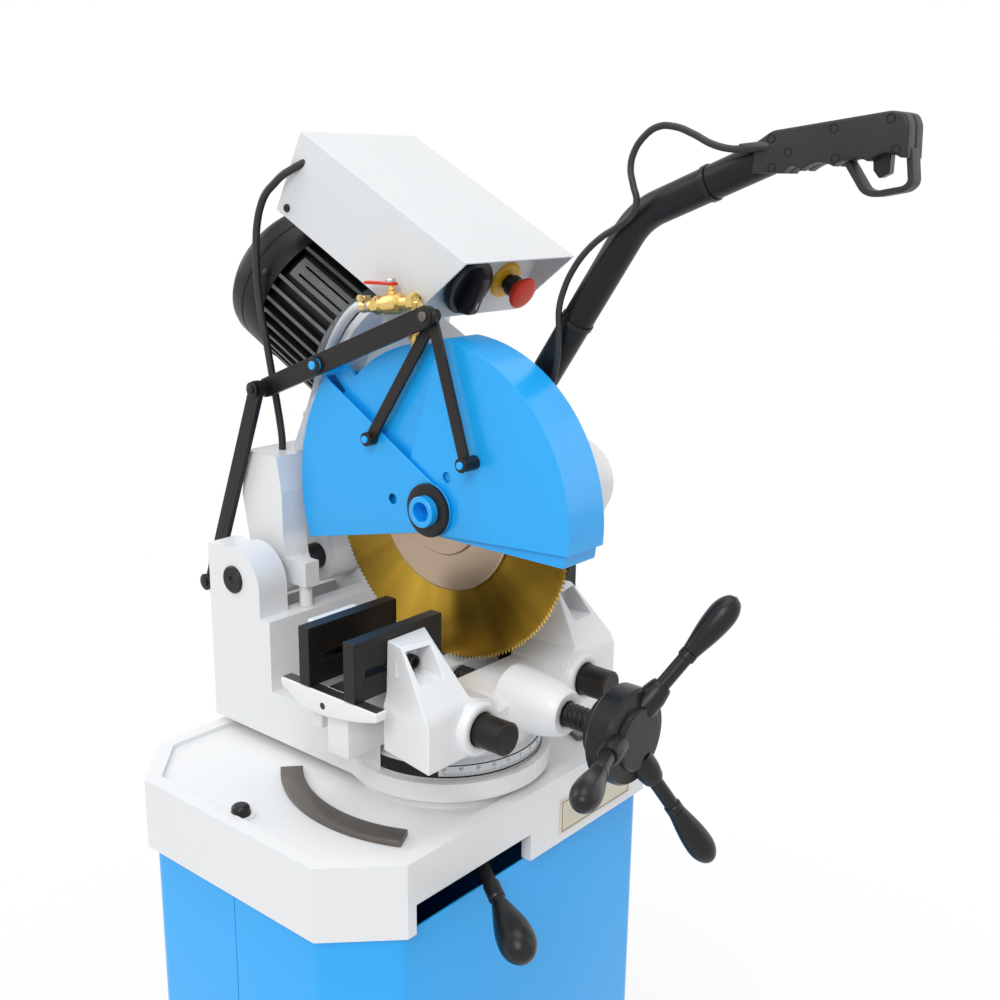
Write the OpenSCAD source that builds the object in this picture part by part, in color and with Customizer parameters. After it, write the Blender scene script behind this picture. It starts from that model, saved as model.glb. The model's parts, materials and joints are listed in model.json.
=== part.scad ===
// Cold saw on a sheet metal stand. Millimetres, Z up, operator at -Y.
// The origin is on the floor, under the upright axis on which the saw head swings.

/* [Blade] */
// Blade diameter
blade_d = 315; // [300:318]
// Blade thickness
blade_t = 2.5; // [2:0.1:3]
// Height of the blade's axis over the base rim
arbor_z = 275; // [272:278]
// Distance of the blade's axis behind the swing axis
arbor_y = 3; // [1:5]

/* [Stand and base] */
// Height of the sheet metal stand
stand_h = 725; // [600:800]
// Height of the base casting
base_h = 75; // [70:90]
// Left side of the base casting
base_left = 236; // [232:250]
// Right side of the base casting
base_right = 262; // [258:275]
// Front of the base casting
base_front = 113; // [110:120]
// Rear of the base casting
base_rear = 258; // [255:275]
// Corner cut of the base casting
base_cut = 60; // [50:66]

/* [Head] */
// Tilt of the motor and its box
head_tilt = 28; // [27:29]
// Height of the hinge axis over the base rim
hinge_z = 173; // [171:176]
// Distance of the hinge axis behind the swing axis
hinge_y = 220; // [217:223]
// Sideways place of the motor axis
motor_x = 75; // [74:76]
// Motor body radius over the fins
motor_r = 80; // [77:81]
// Length of the control box along its top
box_len = 256; // [250:262]

/* [Vise] */
// Opening between the jaw plates as drawn
jaw_gap = 47; // [46:50]
// Height of the jaw plates
jaw_h = 58; // [50:58]
// Length of each jaw plate
jaw_len = 116; // [100:116]
// Distance of each guide bar from the middle
bar_x = 80; // [79:82]
// Guide bar diameter
bar_d = 32; // [28:33]
// Height of the bars and the screw over the base rim
bar_z = 98; // [97:99]

/* [Hidden] */
$fn = 64;
// overrun of every cut
over = 1;
// running clearance of shafts and pins
fit = 0.05;
// gap between pieces that pass each other
gap = 0.5;
rim = stand_h + base_h;
sheet = 2;
arbor = [arbor_y, arbor_z];
hinge = [hinge_y, hinge_z];
blade_r = blade_d / 2;
// stand
stand_in = 8;
seam_y = 70;
seam_gap = 1;
foot_t = 3;
foot_x = 180;
foot_y1 = -60;
foot_y2 = 205;
floor_hole_x = 200;
floor_hole_y = 50;
floor_hole_d = 13;
tank_x = 188;
tank_y = 60;
tank_h = 207;
tank_wall = 2.5;
shelf_x = 196;
shelf_y = 38;
shelf_t = 6;
pump_y = 130;
pump_r = 45;
pump_h = 150;
pump_cap_r = 38;
pump_cap_h = 40;
// base casting
base_rim_w = 16;
base_recess = 5;
base_top_t = 16;
base_wall = 12;
notch_x1 = -165;
notch_x2 = 0;
notch_h = 30;
track_r1 = 150;
track_r2 = 173;
track_h = 10;
track_turn = 150;
track_sweep = 58;
bolt_in = 24;
bolt_y = 75;
bolt_r = 8;
bolt_h = 7;
pad_r = 14;
pad_h = 2;
hole_play = 0.3;
plate_x1 = 47;
plate_x2 = 172;
plate_z1 = 28;
plate_z2 = 65;
plate_t = 1.5;
// pedestal and vise bed
ped_r = 96;
ped_z = 42;
neck_r = 90;
neck_z = 66;
wall_x = 150;
wall_y = 14;
band_t = 1.2;
band_z1 = 28;
band_z2 = 41;
bed_x = 166;
bed_y = 65;
bed_z = 127;
bed_t = 14;
bed_end = 14;
bed_hole_r = 6;
bed_hole_y = 50;
slot_depth = 16;
slot_x = 45;
// swivel
ring_t = 8;
ring_z1 = 7;
ring_z2 = 26;
ring_play = 2;
arm_x = 98;
arm_z = 60;
arm_floor = 14;
arm_wall = 24;
pocket_y1 = 57;
pocket_y2 = 156;
ear_x = 60;
ear_front = 42;
ear_back = 41;
ear_drop = 6;
ear_rise = 33;
web_front = 57;
web_back = 30;
web_drop = 35;
back_wall = 25;
back_drop = 43;
pin_r = 15;
pin_over = 3;
pin_dimple = 3;
lug_x1 = -46;
lug_x2 = -24;
lug_back = 18;
lug_up = 20;
lug_down = 22;
// lock lever
lock_deg = 240;
lock_drop = 12.5;
lock_z = -36;
lock_r = 7;
lock_len = 168;
lock_hub_r = 24;
lock_hub_h = 24;
stud_r = 9;
stud_play = 1;
stud_up = 5;
stud_bore = 21;
lock_knob_len = 70;
lock_knob_r = 18;
// guard linkage, as [rear, up] from the blade's axis and the hinge
lever_end_off = [221, 97];
lever_tip_off = [-12, 191];
lever_pivot_off = [139, 130.08];
rear_pin_off = [77, 61];
front_pin_off = [-55, 56];
lift_foot_off = [96, -33];
lev_a = arbor + lever_end_off;
lev_b = arbor + lever_tip_off;
lev_p = arbor + lever_pivot_off;
pin_l = arbor + rear_pin_off;
pin_f = arbor + front_pin_off;
lift_c = hinge + lift_foot_off;
lever_x = -43;
lever_t = 6;
lever_w = 20;
link_t = 3.5;
link_w = 12;
rear_link_x = -30;
front_link_x = -35;
lift_x = -57;
lift_w = 18;
bar_sides = 32;
link_pin_r = 5;
link_cap_r = 7;
link_cap_h = 4;
lift_cap_r = 9;
lift_cap_h = 6;
lift_hub_r = 8;
pivot_r = 7;
pin_head = 3;
pin_sink = 2;
// guards
guard_gap = 4.5;
fix_r = blade_r + guard_gap;
front_clear = 6;
rear_clear = 20;
front_r = fix_r + front_clear;
rear_r = front_r + rear_clear;
fix_x1 = -16;
fix_x2 = 32;
fix_low = 28;
front_x = -20;
rear_x = -24;
flap_x2 = 34;
hub_r = 27;
tube_r = 15.5;
tube_in = 10;
tube_x1 = -37;
tube_x2 = -14.1;
tube_floor = 3.5;
washer_x = -29;
washer_t = 4;
flap_hole_r = 5.5;
rear_hole = [51, 2];
front_hole = [-19, 35];
tab_r = 11;
tab_t = 3;
tab_from = [100, 93];
spacer_r = 41;
// outlines of the flaps in shares of their radius, as [rear, up] from the blade's axis
rear_shares = [[-0.04, 0.133], [0.718, 0.574], [1.38, 1.06], [1.6, 0], [1.38, -0.49], [0.95, -0.335],
    [0.05, -0.133], [-0.1, -0.1], [-0.13, 0]];
front_shares = [[0.19, 0.238], [-0.071, 1.042], [-0.36, 1.55], [-1.55, 1.55], [-1.55, -0.05], [-1.03, -0.083],
    [-0.06, -0.15], [0.12, -0.1], [0.155, 0]];
// spindle and gears
flange_r = 86;
flange_t = 4.5;
hubplate_r = 50;
hubplate_t = 3;
nut_r = 13;
nut_t = 4.5;
nose_r = 16;
shank_r = 8;
inner_flange_r = 60;
inner_flange_t = 7.5;
spindle_r = 20;
spindle_play = 2;
spindle_x2 = 114;
wheel_r = 36;
wheel_x1 = 62;
wheel_x2 = 88;
worm_w = 48;
worm_r = 11.5;
worm_u = 34;
shaft_r = 10;
gear_x1 = 38;
gear_x2 = 118;
gear_u1 = -100;
gear_u2 = 192;
gear_w1 = -45;
gear_w2 = 95;
gear_round = 40;
gear_bore = 38;
worm_bore = 22;
worm_end = 6;
cover_t = 6;
cover_in = 7;
cover_s = 50;
cover_screw_r = 4;
cover_screw_in = 7;
cover_screw_h = 4;
bearing_w = 12;
bearing_u2 = 144;
// hinge arm of the head, as [rear, up] from the hinge
head_lug_r = 30;
head_x1 = -46;
head_x2 = 58;
window_x1 = -14;
window_x2 = 20;
window_up = 49;
arm_back = 38;
arm_up = 127;
arm_low = 28;
arm_bulge = 14;
bridge_up1 = 57;
bridge_up2 = 172;
bridge_front = 70;
stop_x2 = -27;
stop_y1 = -56;
stop_y2 = -14;
stop_z1 = -10;
stop_z2 = 17;
stop_screw_x = -36;
stop_screw_y = -44;
stop_screw_r = 7;
// motor
mot_u1 = 204;
mot_u2 = 337;
mot_end = 380;
core_in = 60;
fin_h = 10;
fin_n = 30;
fin_t = 3;
fin_sink = 1;
shield_t = 12;
shield_lip = 2;
shield_wall = 8;
cowl_lip = 2;
cowl_wall = 8;
cowl_round = 10;
cowl_end = 6;
vent_n = 12;
vent_r1 = 22;
vent_r2 = 62;
vent_w = 6;
stator_in = 42;
stator_u1 = 226;
stator_u2 = 316;
rotor_r = 41;
rotor_u1 = 230;
rotor_u2 = 312;
fan_r = 62;
fan_u = 346;
fan_t = 12;
rotor_end = 366;
saddle_x = 30;
saddle_u1 = 230;
saddle_u2 = 320;
// box
box_w1 = 137;
box_w2 = 226;
box_u2 = 339;
box_x1 = -8;
box_x2 = 158;
box_slant = 40;
slant_share = -3;
panel_t = 3;
panel_in = 2;
panel_u = box_u2 - box_len + box_slant + panel_in;
panel_face = panel_u - panel_t;
inlet_x = 120;
inlet_up = 28;
inlet_w = box_w1 + inlet_up;
inlet_r = 5;
inlet_l = 13;
switch_x = 52;
stop_btn_x = 115;
box_tall = box_w2 - box_w1;
knob_share = 0.46;
dial_share = 0.28;
knob_w = box_w1 + knob_share * box_tall;
dial_r = dial_share * box_tall;
dial_t = 10.5;
knob_t = 15;
knob_half_share = 0.08;
knob_long_share = 0.27;
knob_half = knob_half_share * box_tall;
knob_long = knob_long_share * box_tall;
switch_shaft_r = 6;
switch_shaft_l = 8;
btn_play = 0.1;
btn_shaft_r = 8;
btn_shaft_l = 6;
btn_r1_share = 0.157;
btn_r2_share = 0.213;
btn_r1 = btn_r1_share * box_tall;
btn_r2 = btn_r2_share * box_tall;
btn_h = 6;
btn_neck = 14;
collar_share = 0.225;
collar_ring_r = collar_share * box_tall;
collar_ring_t = 5;
// handle
grip_x = 62;
handle_r = 15;
foot_u = 3;
foot_l = 6;
handle_bend_off = [-175, 285];
handle_end_off = [-303, 337];
handle_b = arbor + handle_bend_off;
handle_c = arbor + handle_end_off;
bend_r = 70;
bend_n = 8;
tube_sides = 28;
grip_t = 15;
foot_collar_r = 21;
foot_collar_l = 34;
// grip, from its lower front corner at the tube
grip_off = [-285, 305];
grip_at = arbor + grip_off;
grip_l = 135;
grip_h = 64;
grip_shares = [[0, 0.62], [0.1, 0.73], [0.87, 1], [0.94, 0.92], [1, 0.16], [0.98, 0.08], [0.74, 0], [0.667, 0.05],
    [0.56, 0.35], [0.49, 0.31], [0.43, 0.35], [0.37, 0.3], [0.31, 0.34], [0.25, 0.29], [0.19, 0.33], [0.13, 0.28],
    [0.007, 0.28]];
loop_shares = [[0.607, 0.39], [0.733, 0.47], [0.896, 0.42], [0.933, 0.19], [0.748, 0.11], [0.689, 0.156]];
slot_shares = [[0.741, 0.31], [0.741, 0.81], [0.896, 0.81], [0.896, 0.31]];
trigger_shares = [[0.756, 0.69], [0.874, 0.69], [0.874, 0.28], [0.815, 0.22], [0.778, 0.31]];
trigger_half = 5;
grip_fit = 1;
// coolant fittings
valve_x = -20;
valve_off = [97, 190];
valve_at = arbor + valve_off;
valve_tilt = -8;
barb_r = 5.5;
barb_l = 24;
barb_in = 4;
valve_r = 8;
valve_l = 78;
ball_r = 10.5;
ball_u = 58;
ball_l = 24;
stem_u = 46;
stem_r = 5;
stem_z1 = 8;
stem_z2 = 17;
lever_hub_r = 6;
lever_hub_h = 4;
lever_half = 4;
lever_l = 32;
lever_thick = 3;
nipple_off = [21, 149];
nipple = arbor + nipple_off;
nipple_r = 4.5;
nipple_h = 52;
// vise pieces
plate_y = 14;
plate_slot_l = 32;
plate_slot_h = 7;
plate_slot_in = 30;
plate_slot_z = 26;
jaw_lift = 0.5;
fear_x1 = 80;
fear_x2 = 150;
fear_y = 26;
fear_top = 181;
recess_in = 14;
recess_w = 32;
recess_d = 12;
rear_x2 = 140;
rear_y = 17;
casting_z1 = 72;
casting_z2 = 116;
casting_front = 86;
boss_r = 25;
boss_front = 103;
nose_end = 155;
nose_r1 = 31;
nose_r2 = 21;
bar_front = 148;
bar_back = 108;
screw_r = 12;
core_r = 9;
core_play = 3;
screw_back = 96;
jaw_screw_r = 7;
jaw_screw_h = 8;
wheel_y = 192;
wheel_hub_r = 46;
wheel_hub_t = 40;
wheel_neck_r = 30;
wheel_neck_t = 14;
wheel_cap_t = 6;
spoke_r = 7;
spoke_y = 24;
spoke_in = 10;
spoke_tilt = 13;
spoke_l = 122;
knob_l = 66;
knob_r = 17;
spoke_deg = [58, -62, 178];
// routes of the leads and the hose, as [right, rear, up] over the rim
lead_pts = [[43.5, -284, 616], [43.5, -270, 616], [43.5, -252, 620], [43.5, -234, 628], [43, -216, 634],
    [42, -200, 634], [41, -187, 626], [40, -178, 613], [39, -176, 600], [38, -180, 586],
    [38, -184, 573], [38, -180, 562], [38, -166, 551], [39, -148, 541], [40, -130, 527],
    [41, -116, 511], [42, -106, 494], [41, -101, 475], [41, -101, 456], [41, -101, 437],
    [42.5, -98, 419], [44, -92, 402], [44, -85, 388], [44, -77.8, 373.6], [44, -69.3, 357.7], [44, -63.7, 347.1]];
boxlead_pts = [[-3, 190, 605], [-8, 197, 601], [-13, 205, 596], [-18, 214, 590], [-21, 225, 581],
    [-23, 236, 571], [-23, 245, 558], [-23, 251, 542], [-23, 254, 525], [-23, 255, 505],
    [-23, 255, 485], [-23, 253, 465], [-23, 250, 445], [-22, 246, 425], [-21, 243, 405],
    [-20, 240, 385], [-19, 237, 365], [-18, 234, 345], [-17, 232, 328], [-16, 231, 312], [-16, 231, 300]];
hose_pts = [[-20, 105.2, 464.2], [-19, 113, 460], [-17, 124, 452], [-15, 135, 442], [-13, 146, 430],
    [-11, 156, 416], [-10, 165, 401], [-10, 173, 385], [-10, 181, 368], [-10, 189, 350],
    [-10, 198, 332], [-10, 206, 316], [-10, 209, 308], [-10, 209, 300]];
lead_boss_r = 4.6;
lead_boss_l = 16;
lead_d = 6;
boxlead_d = 8;
hose_d = 10;
tie_t = 2;
tie_w = 6;
tie_a = 190;
tie_b = 40;
tie_fit = 0.15;
sides = 8;

// Frames
module at_rim() translate([0, 0, rim]) children();
module at_yz(p) translate([0, p[0], rim + p[1]]) children();
module at_arbor() at_yz(arbor) children();
module at_head() at_arbor() rotate([head_tilt, 0, 0]) children();
module at_motor() at_head() translate([motor_x, 0, worm_w]) children();
function from_head(u, w) = arbor
    + [u * cos(head_tilt) - w * sin(head_tilt), u * sin(head_tilt) + w * cos(head_tilt)];
function unit(v) = v / norm(v);
function deg_of(v) = atan2(v[1], v[0]);
// A round bar along X from x1 to x2
module rod(r, x1, x2, n = $fn) translate([x1, 0, 0]) rotate([0, 90, 0]) cylinder(r = r, h = x2 - x1, $fn = n);
// A round bar along Y from y1 to y2
module rod_y(r, y1, y2) translate([0, y2, 0]) rotate([90, 0, 0]) cylinder(r = r, h = y2 - y1);
// A cone along Y from y1 back to y2
module cone_y(r1, r2, y1, y2) translate([0, y2, 0]) rotate([90, 0, 0]) cylinder(r1 = r2, r2 = r1, h = y2 - y1);
// A flat shape drawn as [rear, up], as thick as x1 to x2
module slab(x1, x2) translate([x1, 0, 0]) rotate([90, 0, 90]) linear_extrude(x2 - x1) children();
// A box between two corners
module block(a, b) translate(a) cube(b - a);
// A box on the left and its mirror image on the right
module both(a, b) for (s = [0, 1]) mirror([s, 0, 0]) block(a, b);
// A flat bar with round ends between two points drawn as [rear, up]
module bar(p, q, w, x1, x2) hull() for (e = [p, q]) at_yz(e) rod(w / 2, x1, x2, bar_sides);
// An egg shaped knob along X, from one end
module oval(r, l) rotate([0, 90, 0]) rotate_extrude() intersection() {
    translate([0, l / 2]) scale([r * 2 / l, 1]) circle(d = l);
    square([r, l]);
}
// Octagon of the base, smaller by inset
corner_share = 2 - sqrt(2);
module octagon(inset) {
    l = -base_left + inset;
    r = base_right - inset;
    f = -base_front + inset;
    b = base_rear - inset;
    c = base_cut - inset * corner_share;
    polygon([[l, f + c], [l + c, f], [r - c, f], [r, f + c], [r, b - c], [r - c, b], [l + c, b], [l, b - c]]);
}
// A tube swept along points
most_share = 0.9;
function run_of(p, i) = p[min(i + 1, len(p) - 1)] - p[max(i - 1, 0)];
function side_of(t) = unit(cross(t, abs(t[0]) > most_share ? [0, 1, 0] : [1, 0, 0]));
function ring(p, i, r, n) = let (t = unit(run_of(p, i)), a = side_of(t), b = cross(t, a))
    [for (k = [0:n - 1]) p[i] + r * (cos(360 * k / n) * a + sin(360 * k / n) * b)];
function skin(m, n) = concat([[for (k = [0:n - 1]) k]], [for (i = [0:m - 2], k = [0:n - 1])
    [i * n + k, (i + 1) * n + k, (i + 1) * n + (k + 1) % n, i * n + (k + 1) % n]],
    [[for (k = [0:n - 1]) m * n - 1 - k]]);
module cord(p, d, n = sides) polyhedron([for (i = [0:len(p) - 1]) each ring(p, i, d / 2, n)], skin(len(p), n));

// Stand and base
module stand_shell(y1, y2) difference() {
    intersection() {
        union() {
            linear_extrude(stand_h) difference() {
                octagon(stand_in);
                octagon(stand_in + sheet);
            }
            linear_extrude(foot_t) difference() {
                octagon(stand_in);
                translate([-foot_x, foot_y1]) square([2 * foot_x, foot_y2 - foot_y1]);
            }
        }
        block([-base_left, y1, -over], [base_right, y2, stand_h]);
    }
    for (x = [-floor_hole_x, floor_hole_x], y = [-floor_hole_y, floor_hole_y])
        translate([x, y, -over]) cylinder(d = floor_hole_d, h = foot_t + 2 * over);
}
module stand_front() color("DodgerBlue") stand_shell(-base_front, seam_y);
module stand_rear() color("DodgerBlue") stand_shell(seam_y + seam_gap, base_rear);
module coolant_tank() color("SlateGray") difference() {
    block([-tank_x, -tank_y, foot_t], [tank_x, tank_y, foot_t + tank_h]);
    block([-tank_x + tank_wall, -tank_y + tank_wall, foot_t + tank_wall],
        [tank_x - tank_wall, tank_y - tank_wall, foot_t + tank_h + over]);
}
module coolant_pump() color("DimGray") translate([0, 0, foot_t]) {
    translate([0, pump_y, 0]) cylinder(r = pump_r, h = pump_h);
    translate([0, pump_y, pump_h]) cylinder(r = pump_cap_r, h = pump_cap_h);
    block([-pump_cap_r, tank_y, 0], [pump_cap_r, pump_y, shelf_t]);
    block([-shelf_x, pump_y - shelf_y, 0], [shelf_x, pump_y + shelf_y, shelf_t]);
}
module at_bolts() for (x = [-base_left + bolt_in, base_right - bolt_in])
    translate([x, bolt_y, rim - base_recess]) children();
module base_casting() color("WhiteSmoke") difference() {
    union() {
        translate([0, 0, stand_h]) linear_extrude(base_h - base_recess) octagon(0);
        translate([0, 0, rim - base_recess]) linear_extrude(base_recess) difference() {
            octagon(0);
            octagon(base_rim_w);
        }
        at_bolts() cylinder(r = pad_r, h = pad_h);
    }
    translate([0, 0, stand_h - over]) linear_extrude(base_h - base_recess - base_top_t + over) octagon(base_wall);
    block([notch_x1, -base_front - over, stand_h - over],
        [notch_x2, -base_front + base_wall + over, stand_h + notch_h]);
    at_bolts() translate([0, 0, -base_top_t - over])
        cylinder(r = bolt_r / 2 + hole_play, h = base_top_t + pad_h + 2 * over);
    translate([0, 0, stand_h]) cylinder(r = stud_r + stud_play, h = base_h);
}
dome_share = 0.7;
module base_bolts() color("Black") at_bolts() {
    translate([0, 0, pad_h]) cylinder(r1 = bolt_r, r2 = bolt_r * dome_share, h = bolt_h);
    translate([0, 0, -base_top_t]) cylinder(r = bolt_r / 2, h = base_top_t + pad_h);
}
module swivel_track() color("Silver") at_rim() translate([0, 0, -base_recess]) for (s = [0, 1]) mirror([s, 0, 0])
    rotate([0, 0, track_turn]) rotate_extrude(angle = track_sweep) translate([track_r1, 0])
    square([track_r2 - track_r1, track_h]);
module name_plate() color("Wheat") at_rim()
    block([plate_x1, -base_front - plate_t, -plate_z2], [plate_x2, -base_front, -plate_z1]);
module vise_pedestal() color("WhiteSmoke") at_rim() difference() {
    union() {
        translate([0, 0, -base_recess]) cylinder(r = ped_r, h = ped_z + base_recess);
        cylinder(r = neck_r, h = neck_z);
        block([-wall_x, -wall_y, neck_z], [wall_x, wall_y, bed_z]);
        both([-bed_x, -bed_y, bed_z - bed_t], [-bed_x + bed_end, bed_y, bed_z]);
        block([-bed_x, -wall_y, bed_z - bed_t], [bed_x, wall_y, bed_z]);
    }
    block([-slot_x, -wall_y - over, bed_z - slot_depth], [slot_x, wall_y + over, bed_z + over]);
    for (x = [-bar_x, bar_x]) translate([x, 0, bar_z]) rod_y(bar_d / 2, -bed_y, bed_y);
    for (x = [-bed_x + bed_end / 2, bed_x - bed_end / 2]) translate([x, -bed_hole_y, bed_z - bed_t - over])
        cylinder(r = bed_hole_r / 2, h = bed_t + 2 * over);
    translate([0, 0, bar_z]) rod_y(core_r + fit, -bed_y, bed_y);
    translate([0, 0, -base_recess - over]) cylinder(r = stud_r + fit, h = stud_bore + over);
}
module scale_band() color("White") at_rim() translate([0, 0, band_z1]) difference() {
    cylinder(r = ped_r + band_t, h = band_z2 - band_z1);
    translate([0, 0, -over]) cylinder(r = ped_r, h = band_z2);
}
module guide_bars() color("DimGray") at_rim() for (x = [-bar_x, bar_x])
    translate([x, 0, bar_z]) rod_y(bar_d / 2, -bar_front, bar_back);

// Swivel
ring_in = ped_r + ring_play;
ear_r = (ear_front + ear_back) / 2;
ear_y1 = hinge_y - ear_front;
ear_y2 = hinge_y + ear_back;
web_z = hinge_z - web_drop;
module swivel_casting() color("WhiteSmoke") at_rim() difference() {
    union() {
        translate([0, 0, ring_z1]) cylinder(r = ring_in + ring_t, h = ring_z2 - ring_z1);
        block([-arm_x, 0, ring_z1], [arm_x, ear_y2, arm_z]);
        fork_ear(-arm_x, -ear_x);
        fork_ear(ear_x, arm_x);
        block([-arm_x, hinge_y - web_front, ring_z1], [arm_x, hinge_y - web_back, web_z]);
        block([-arm_x, ear_y2 - back_wall, ring_z1], [arm_x, ear_y2, hinge_z - back_drop]);
        block([lug_x1, ear_y2 - back_wall, lift_c[1] - lug_down], [lug_x2, ear_y2, hinge_z - back_drop]);
        block([lug_x1, ear_y2 - lug_sink, lift_c[1] - lug_down],
            [lug_x2, lift_c[0] + lug_back, lift_c[1] + lug_up]);
    }
    cylinder(r = ring_in, h = hinge_z + ear_rise);
    block([-arm_x + arm_wall, pocket_y1, ring_z1 + arm_floor], [arm_x - arm_wall, pocket_y2, arm_z + over]);
    translate([0, hinge_y, hinge_z]) rod(pin_r, -arm_x - over, arm_x + over);
}
lug_sink = 4;
module fork_ear(x1, x2) {
    block([x1, ear_y1, ring_z1], [x2, ear_y2, hinge_z - ear_drop]);
    translate([0, ear_y1 + ear_r, hinge_z - ear_drop]) rod(ear_r, x1, x2);
    block([x1, ear_y1 + ear_r, hinge_z - ear_drop], [x2, ear_y2, hinge_z + ear_rise]);
}
module hinge_pin() color("Black") at_yz(hinge) difference() {
    rod(pin_r, -arm_x - pin_over, arm_x + pin_over);
    rod(pin_dimple, -arm_x - pin_over - over, -arm_x - pin_over + pin_dimple);
}
module lock_arm() at_rim() translate([0, 0, lock_z]) rotate([0, 0, lock_deg]) rotate([0, lock_drop, 0]) children();
module lock_lever() color("Black") {
    at_rim() translate([0, 0, lock_z - lock_hub_h / 2]) cylinder(r = lock_hub_r, h = lock_hub_h);
    at_rim() translate([0, 0, lock_z]) cylinder(r = stud_r, h = stud_up - lock_z);
    lock_arm() rod(lock_r, 0, lock_len);
}
module lock_knob() color("Black") lock_arm() translate([lock_len, 0, 0]) oval(lock_knob_r, lock_knob_len);

// Head
arm_front = -arm_low + arm_bulge / 2;
module hinge_arm() slab(head_x1, head_x2) translate(hinge + [0, rim]) polygon([[-arm_low, 0],
    [arm_front, bridge_up1 - arm_bulge], [arm_front, arm_up * arm_neck_share], [-arm_low + arm_bulge, arm_up],
    [arm_back, arm_up], [arm_back + arm_bulge / 2, arm_up * arm_mid_share], [head_lug_r, 0]]);
arm_neck_share = 0.7;
arm_mid_share = 0.6;
// The gear housing's side outline, with its low front corner rounded
module gear_shape() difference() {
    translate([gear_u1, gear_w1]) square([gear_u2 - gear_u1, gear_w2 - gear_w1]);
    difference() {
        translate([gear_u1 - over, gear_w1 - over]) square(gear_round + over);
        translate([gear_u1 + gear_round, gear_w1 + gear_round]) circle(r = gear_round);
    }
    difference() {
        translate([gear_u1 - over, gear_w2 - gear_round]) square(gear_round + over);
        translate([gear_u1 + gear_round, gear_w2 - gear_round]) circle(r = gear_round);
    }
}
module head_casting() color("WhiteSmoke") difference() {
    union() {
        at_yz(hinge) rod(head_lug_r, head_x1, window_x1);
        at_yz(hinge) rod(head_lug_r, window_x2, head_x2);
        difference() {
            hinge_arm();
            at_yz(hinge) block([window_x1, -2 * head_lug_r, -head_lug_r], [window_x2, 2 * head_lug_r, window_up]);
        }
        slab(gear_x1, gear_x2) translate(hinge + [0, rim]) polygon([[-bridge_front, bridge_up1 + arm_bulge],
            [arm_back, bridge_up1], [arm_back, bridge_up2 - arm_bulge], [-arm_low, bridge_up2],
            [-bridge_front, bridge_up2 - 2 * arm_bulge]]);
        at_head() slab(gear_x1, gear_x2) gear_shape();
        at_motor() rod_y(motor_r, gear_u2 - over, mot_u1);
        at_yz(hinge) block([head_x1, stop_y1, stop_z1], [stop_x2, stop_y2, stop_z2]);
        at_yz(hinge) translate([stop_screw_x, stop_screw_y, -web_drop + gap])
            cylinder(r = stop_screw_r, h = web_drop + stop_z1);
    }
    at_yz(hinge) rod(pin_r + fit, -arm_x, arm_x);
    at_arbor() rod(gear_bore, gear_x1 + gap, gear_x2 + over);
    at_arbor() rod(spindle_r + spindle_play, 0, gear_x2);
    at_motor() rod_y(worm_bore, gear_u1 + worm_end, mot_u1 + over);
}
module gear_cover() color("WhiteSmoke") at_head() {
    block([gear_x2, -cover_s, gear_w1 + cover_in], [gear_x2 + cover_t, cover_s, cover_s]);
    for (u = [-cover_s + cover_screw_in, cover_s - cover_screw_in])
        for (w = [gear_w1 + cover_in + cover_screw_in, cover_s - cover_screw_in])
            translate([0, u, w]) rod(cover_screw_r, gear_x2 + cover_t, gear_x2 + cover_t + cover_screw_h);
}
module bearings() color("Silver") {
    at_arbor() for (x = [gear_x1 + gap, spindle_x2 - bearing_w]) difference() {
        rod(gear_bore, x, x + bearing_w);
        rod(spindle_r + fit, x - over, x + bearing_w + over);
    }
    at_motor() for (u = [gear_u1 + worm_end, bearing_u2]) difference() {
        rod_y(worm_bore, u, u + bearing_w);
        rod_y(shaft_r + fit, u - over, u + bearing_w + over);
    }
}
side_x = -blade_t / 2 - flange_t;
nut_x = side_x - hubplate_t;
module spindle() color("Silver") at_arbor() {
    rod(spindle_r, blade_t / 2, spindle_x2);
    rod(inner_flange_r, blade_t / 2, blade_t / 2 + inner_flange_t);
    rod(nose_r, side_x, blade_t / 2);
    rod(shank_r, nut_x, side_x);
    rod(nut_r, nut_x - nut_t, nut_x);
}
module worm_wheel() color("Goldenrod") at_arbor() difference() {
    rod(wheel_r, wheel_x1, wheel_x2);
    rod(spindle_r, wheel_x1 - over, wheel_x2 + over);
}
module blade() color("Gold") at_arbor() difference() {
    rod(blade_r, -blade_t / 2, blade_t / 2);
    rod(nose_r, -blade_t, blade_t);
}
module blade_flange() color("Silver") at_arbor() difference() {
    union() {
        rod(flange_r, side_x, -blade_t / 2);
        rod(hubplate_r, nut_x, side_x);
    }
    rod(nose_r, side_x, 0);
    rod(shank_r, nut_x - over, 0);
}
core_out = motor_r - fin_h;
module motor_body() color("Black") difference() {
    union() {
        at_motor() rod_y(core_out, mot_u1, mot_u2);
        at_motor() rod_y(motor_r - shield_lip, mot_u1, mot_u1 + shield_t);
        at_motor() for (k = [0:fin_n - 1]) rotate([0, 360 * k / fin_n, 0])
            block([core_out - fin_sink, mot_u1 + shield_t, -fin_t / 2], [motor_r, mot_u2, fin_t / 2]);
        at_head() block([motor_x - saddle_x, saddle_u1, worm_w + core_in + fin_h / 2],
            [motor_x + saddle_x, saddle_u2, box_w1]);
    }
    at_motor() rod_y(core_in, mot_u1 + shield_wall, mot_u2 + over);
    at_motor() rod_y(worm_bore, mot_u1 - over, mot_u2);
}
module motor_stator() color("Peru") at_motor() difference() {
    rod_y(core_in, stator_u1, stator_u2);
    rod_y(stator_in, stator_u1 - over, stator_u2 + over);
}
module motor_rotor() color("LightSteelBlue") at_motor() {
    rod_y(shaft_r, gear_u1 + worm_end + over, rotor_end);
    rod_y(worm_r, -worm_u, worm_u);
    rod_y(rotor_r, rotor_u1, rotor_u2);
    rod_y(fan_r, fan_u, fan_u + fan_t);
}
cowl_r = motor_r + cowl_lip;
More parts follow.
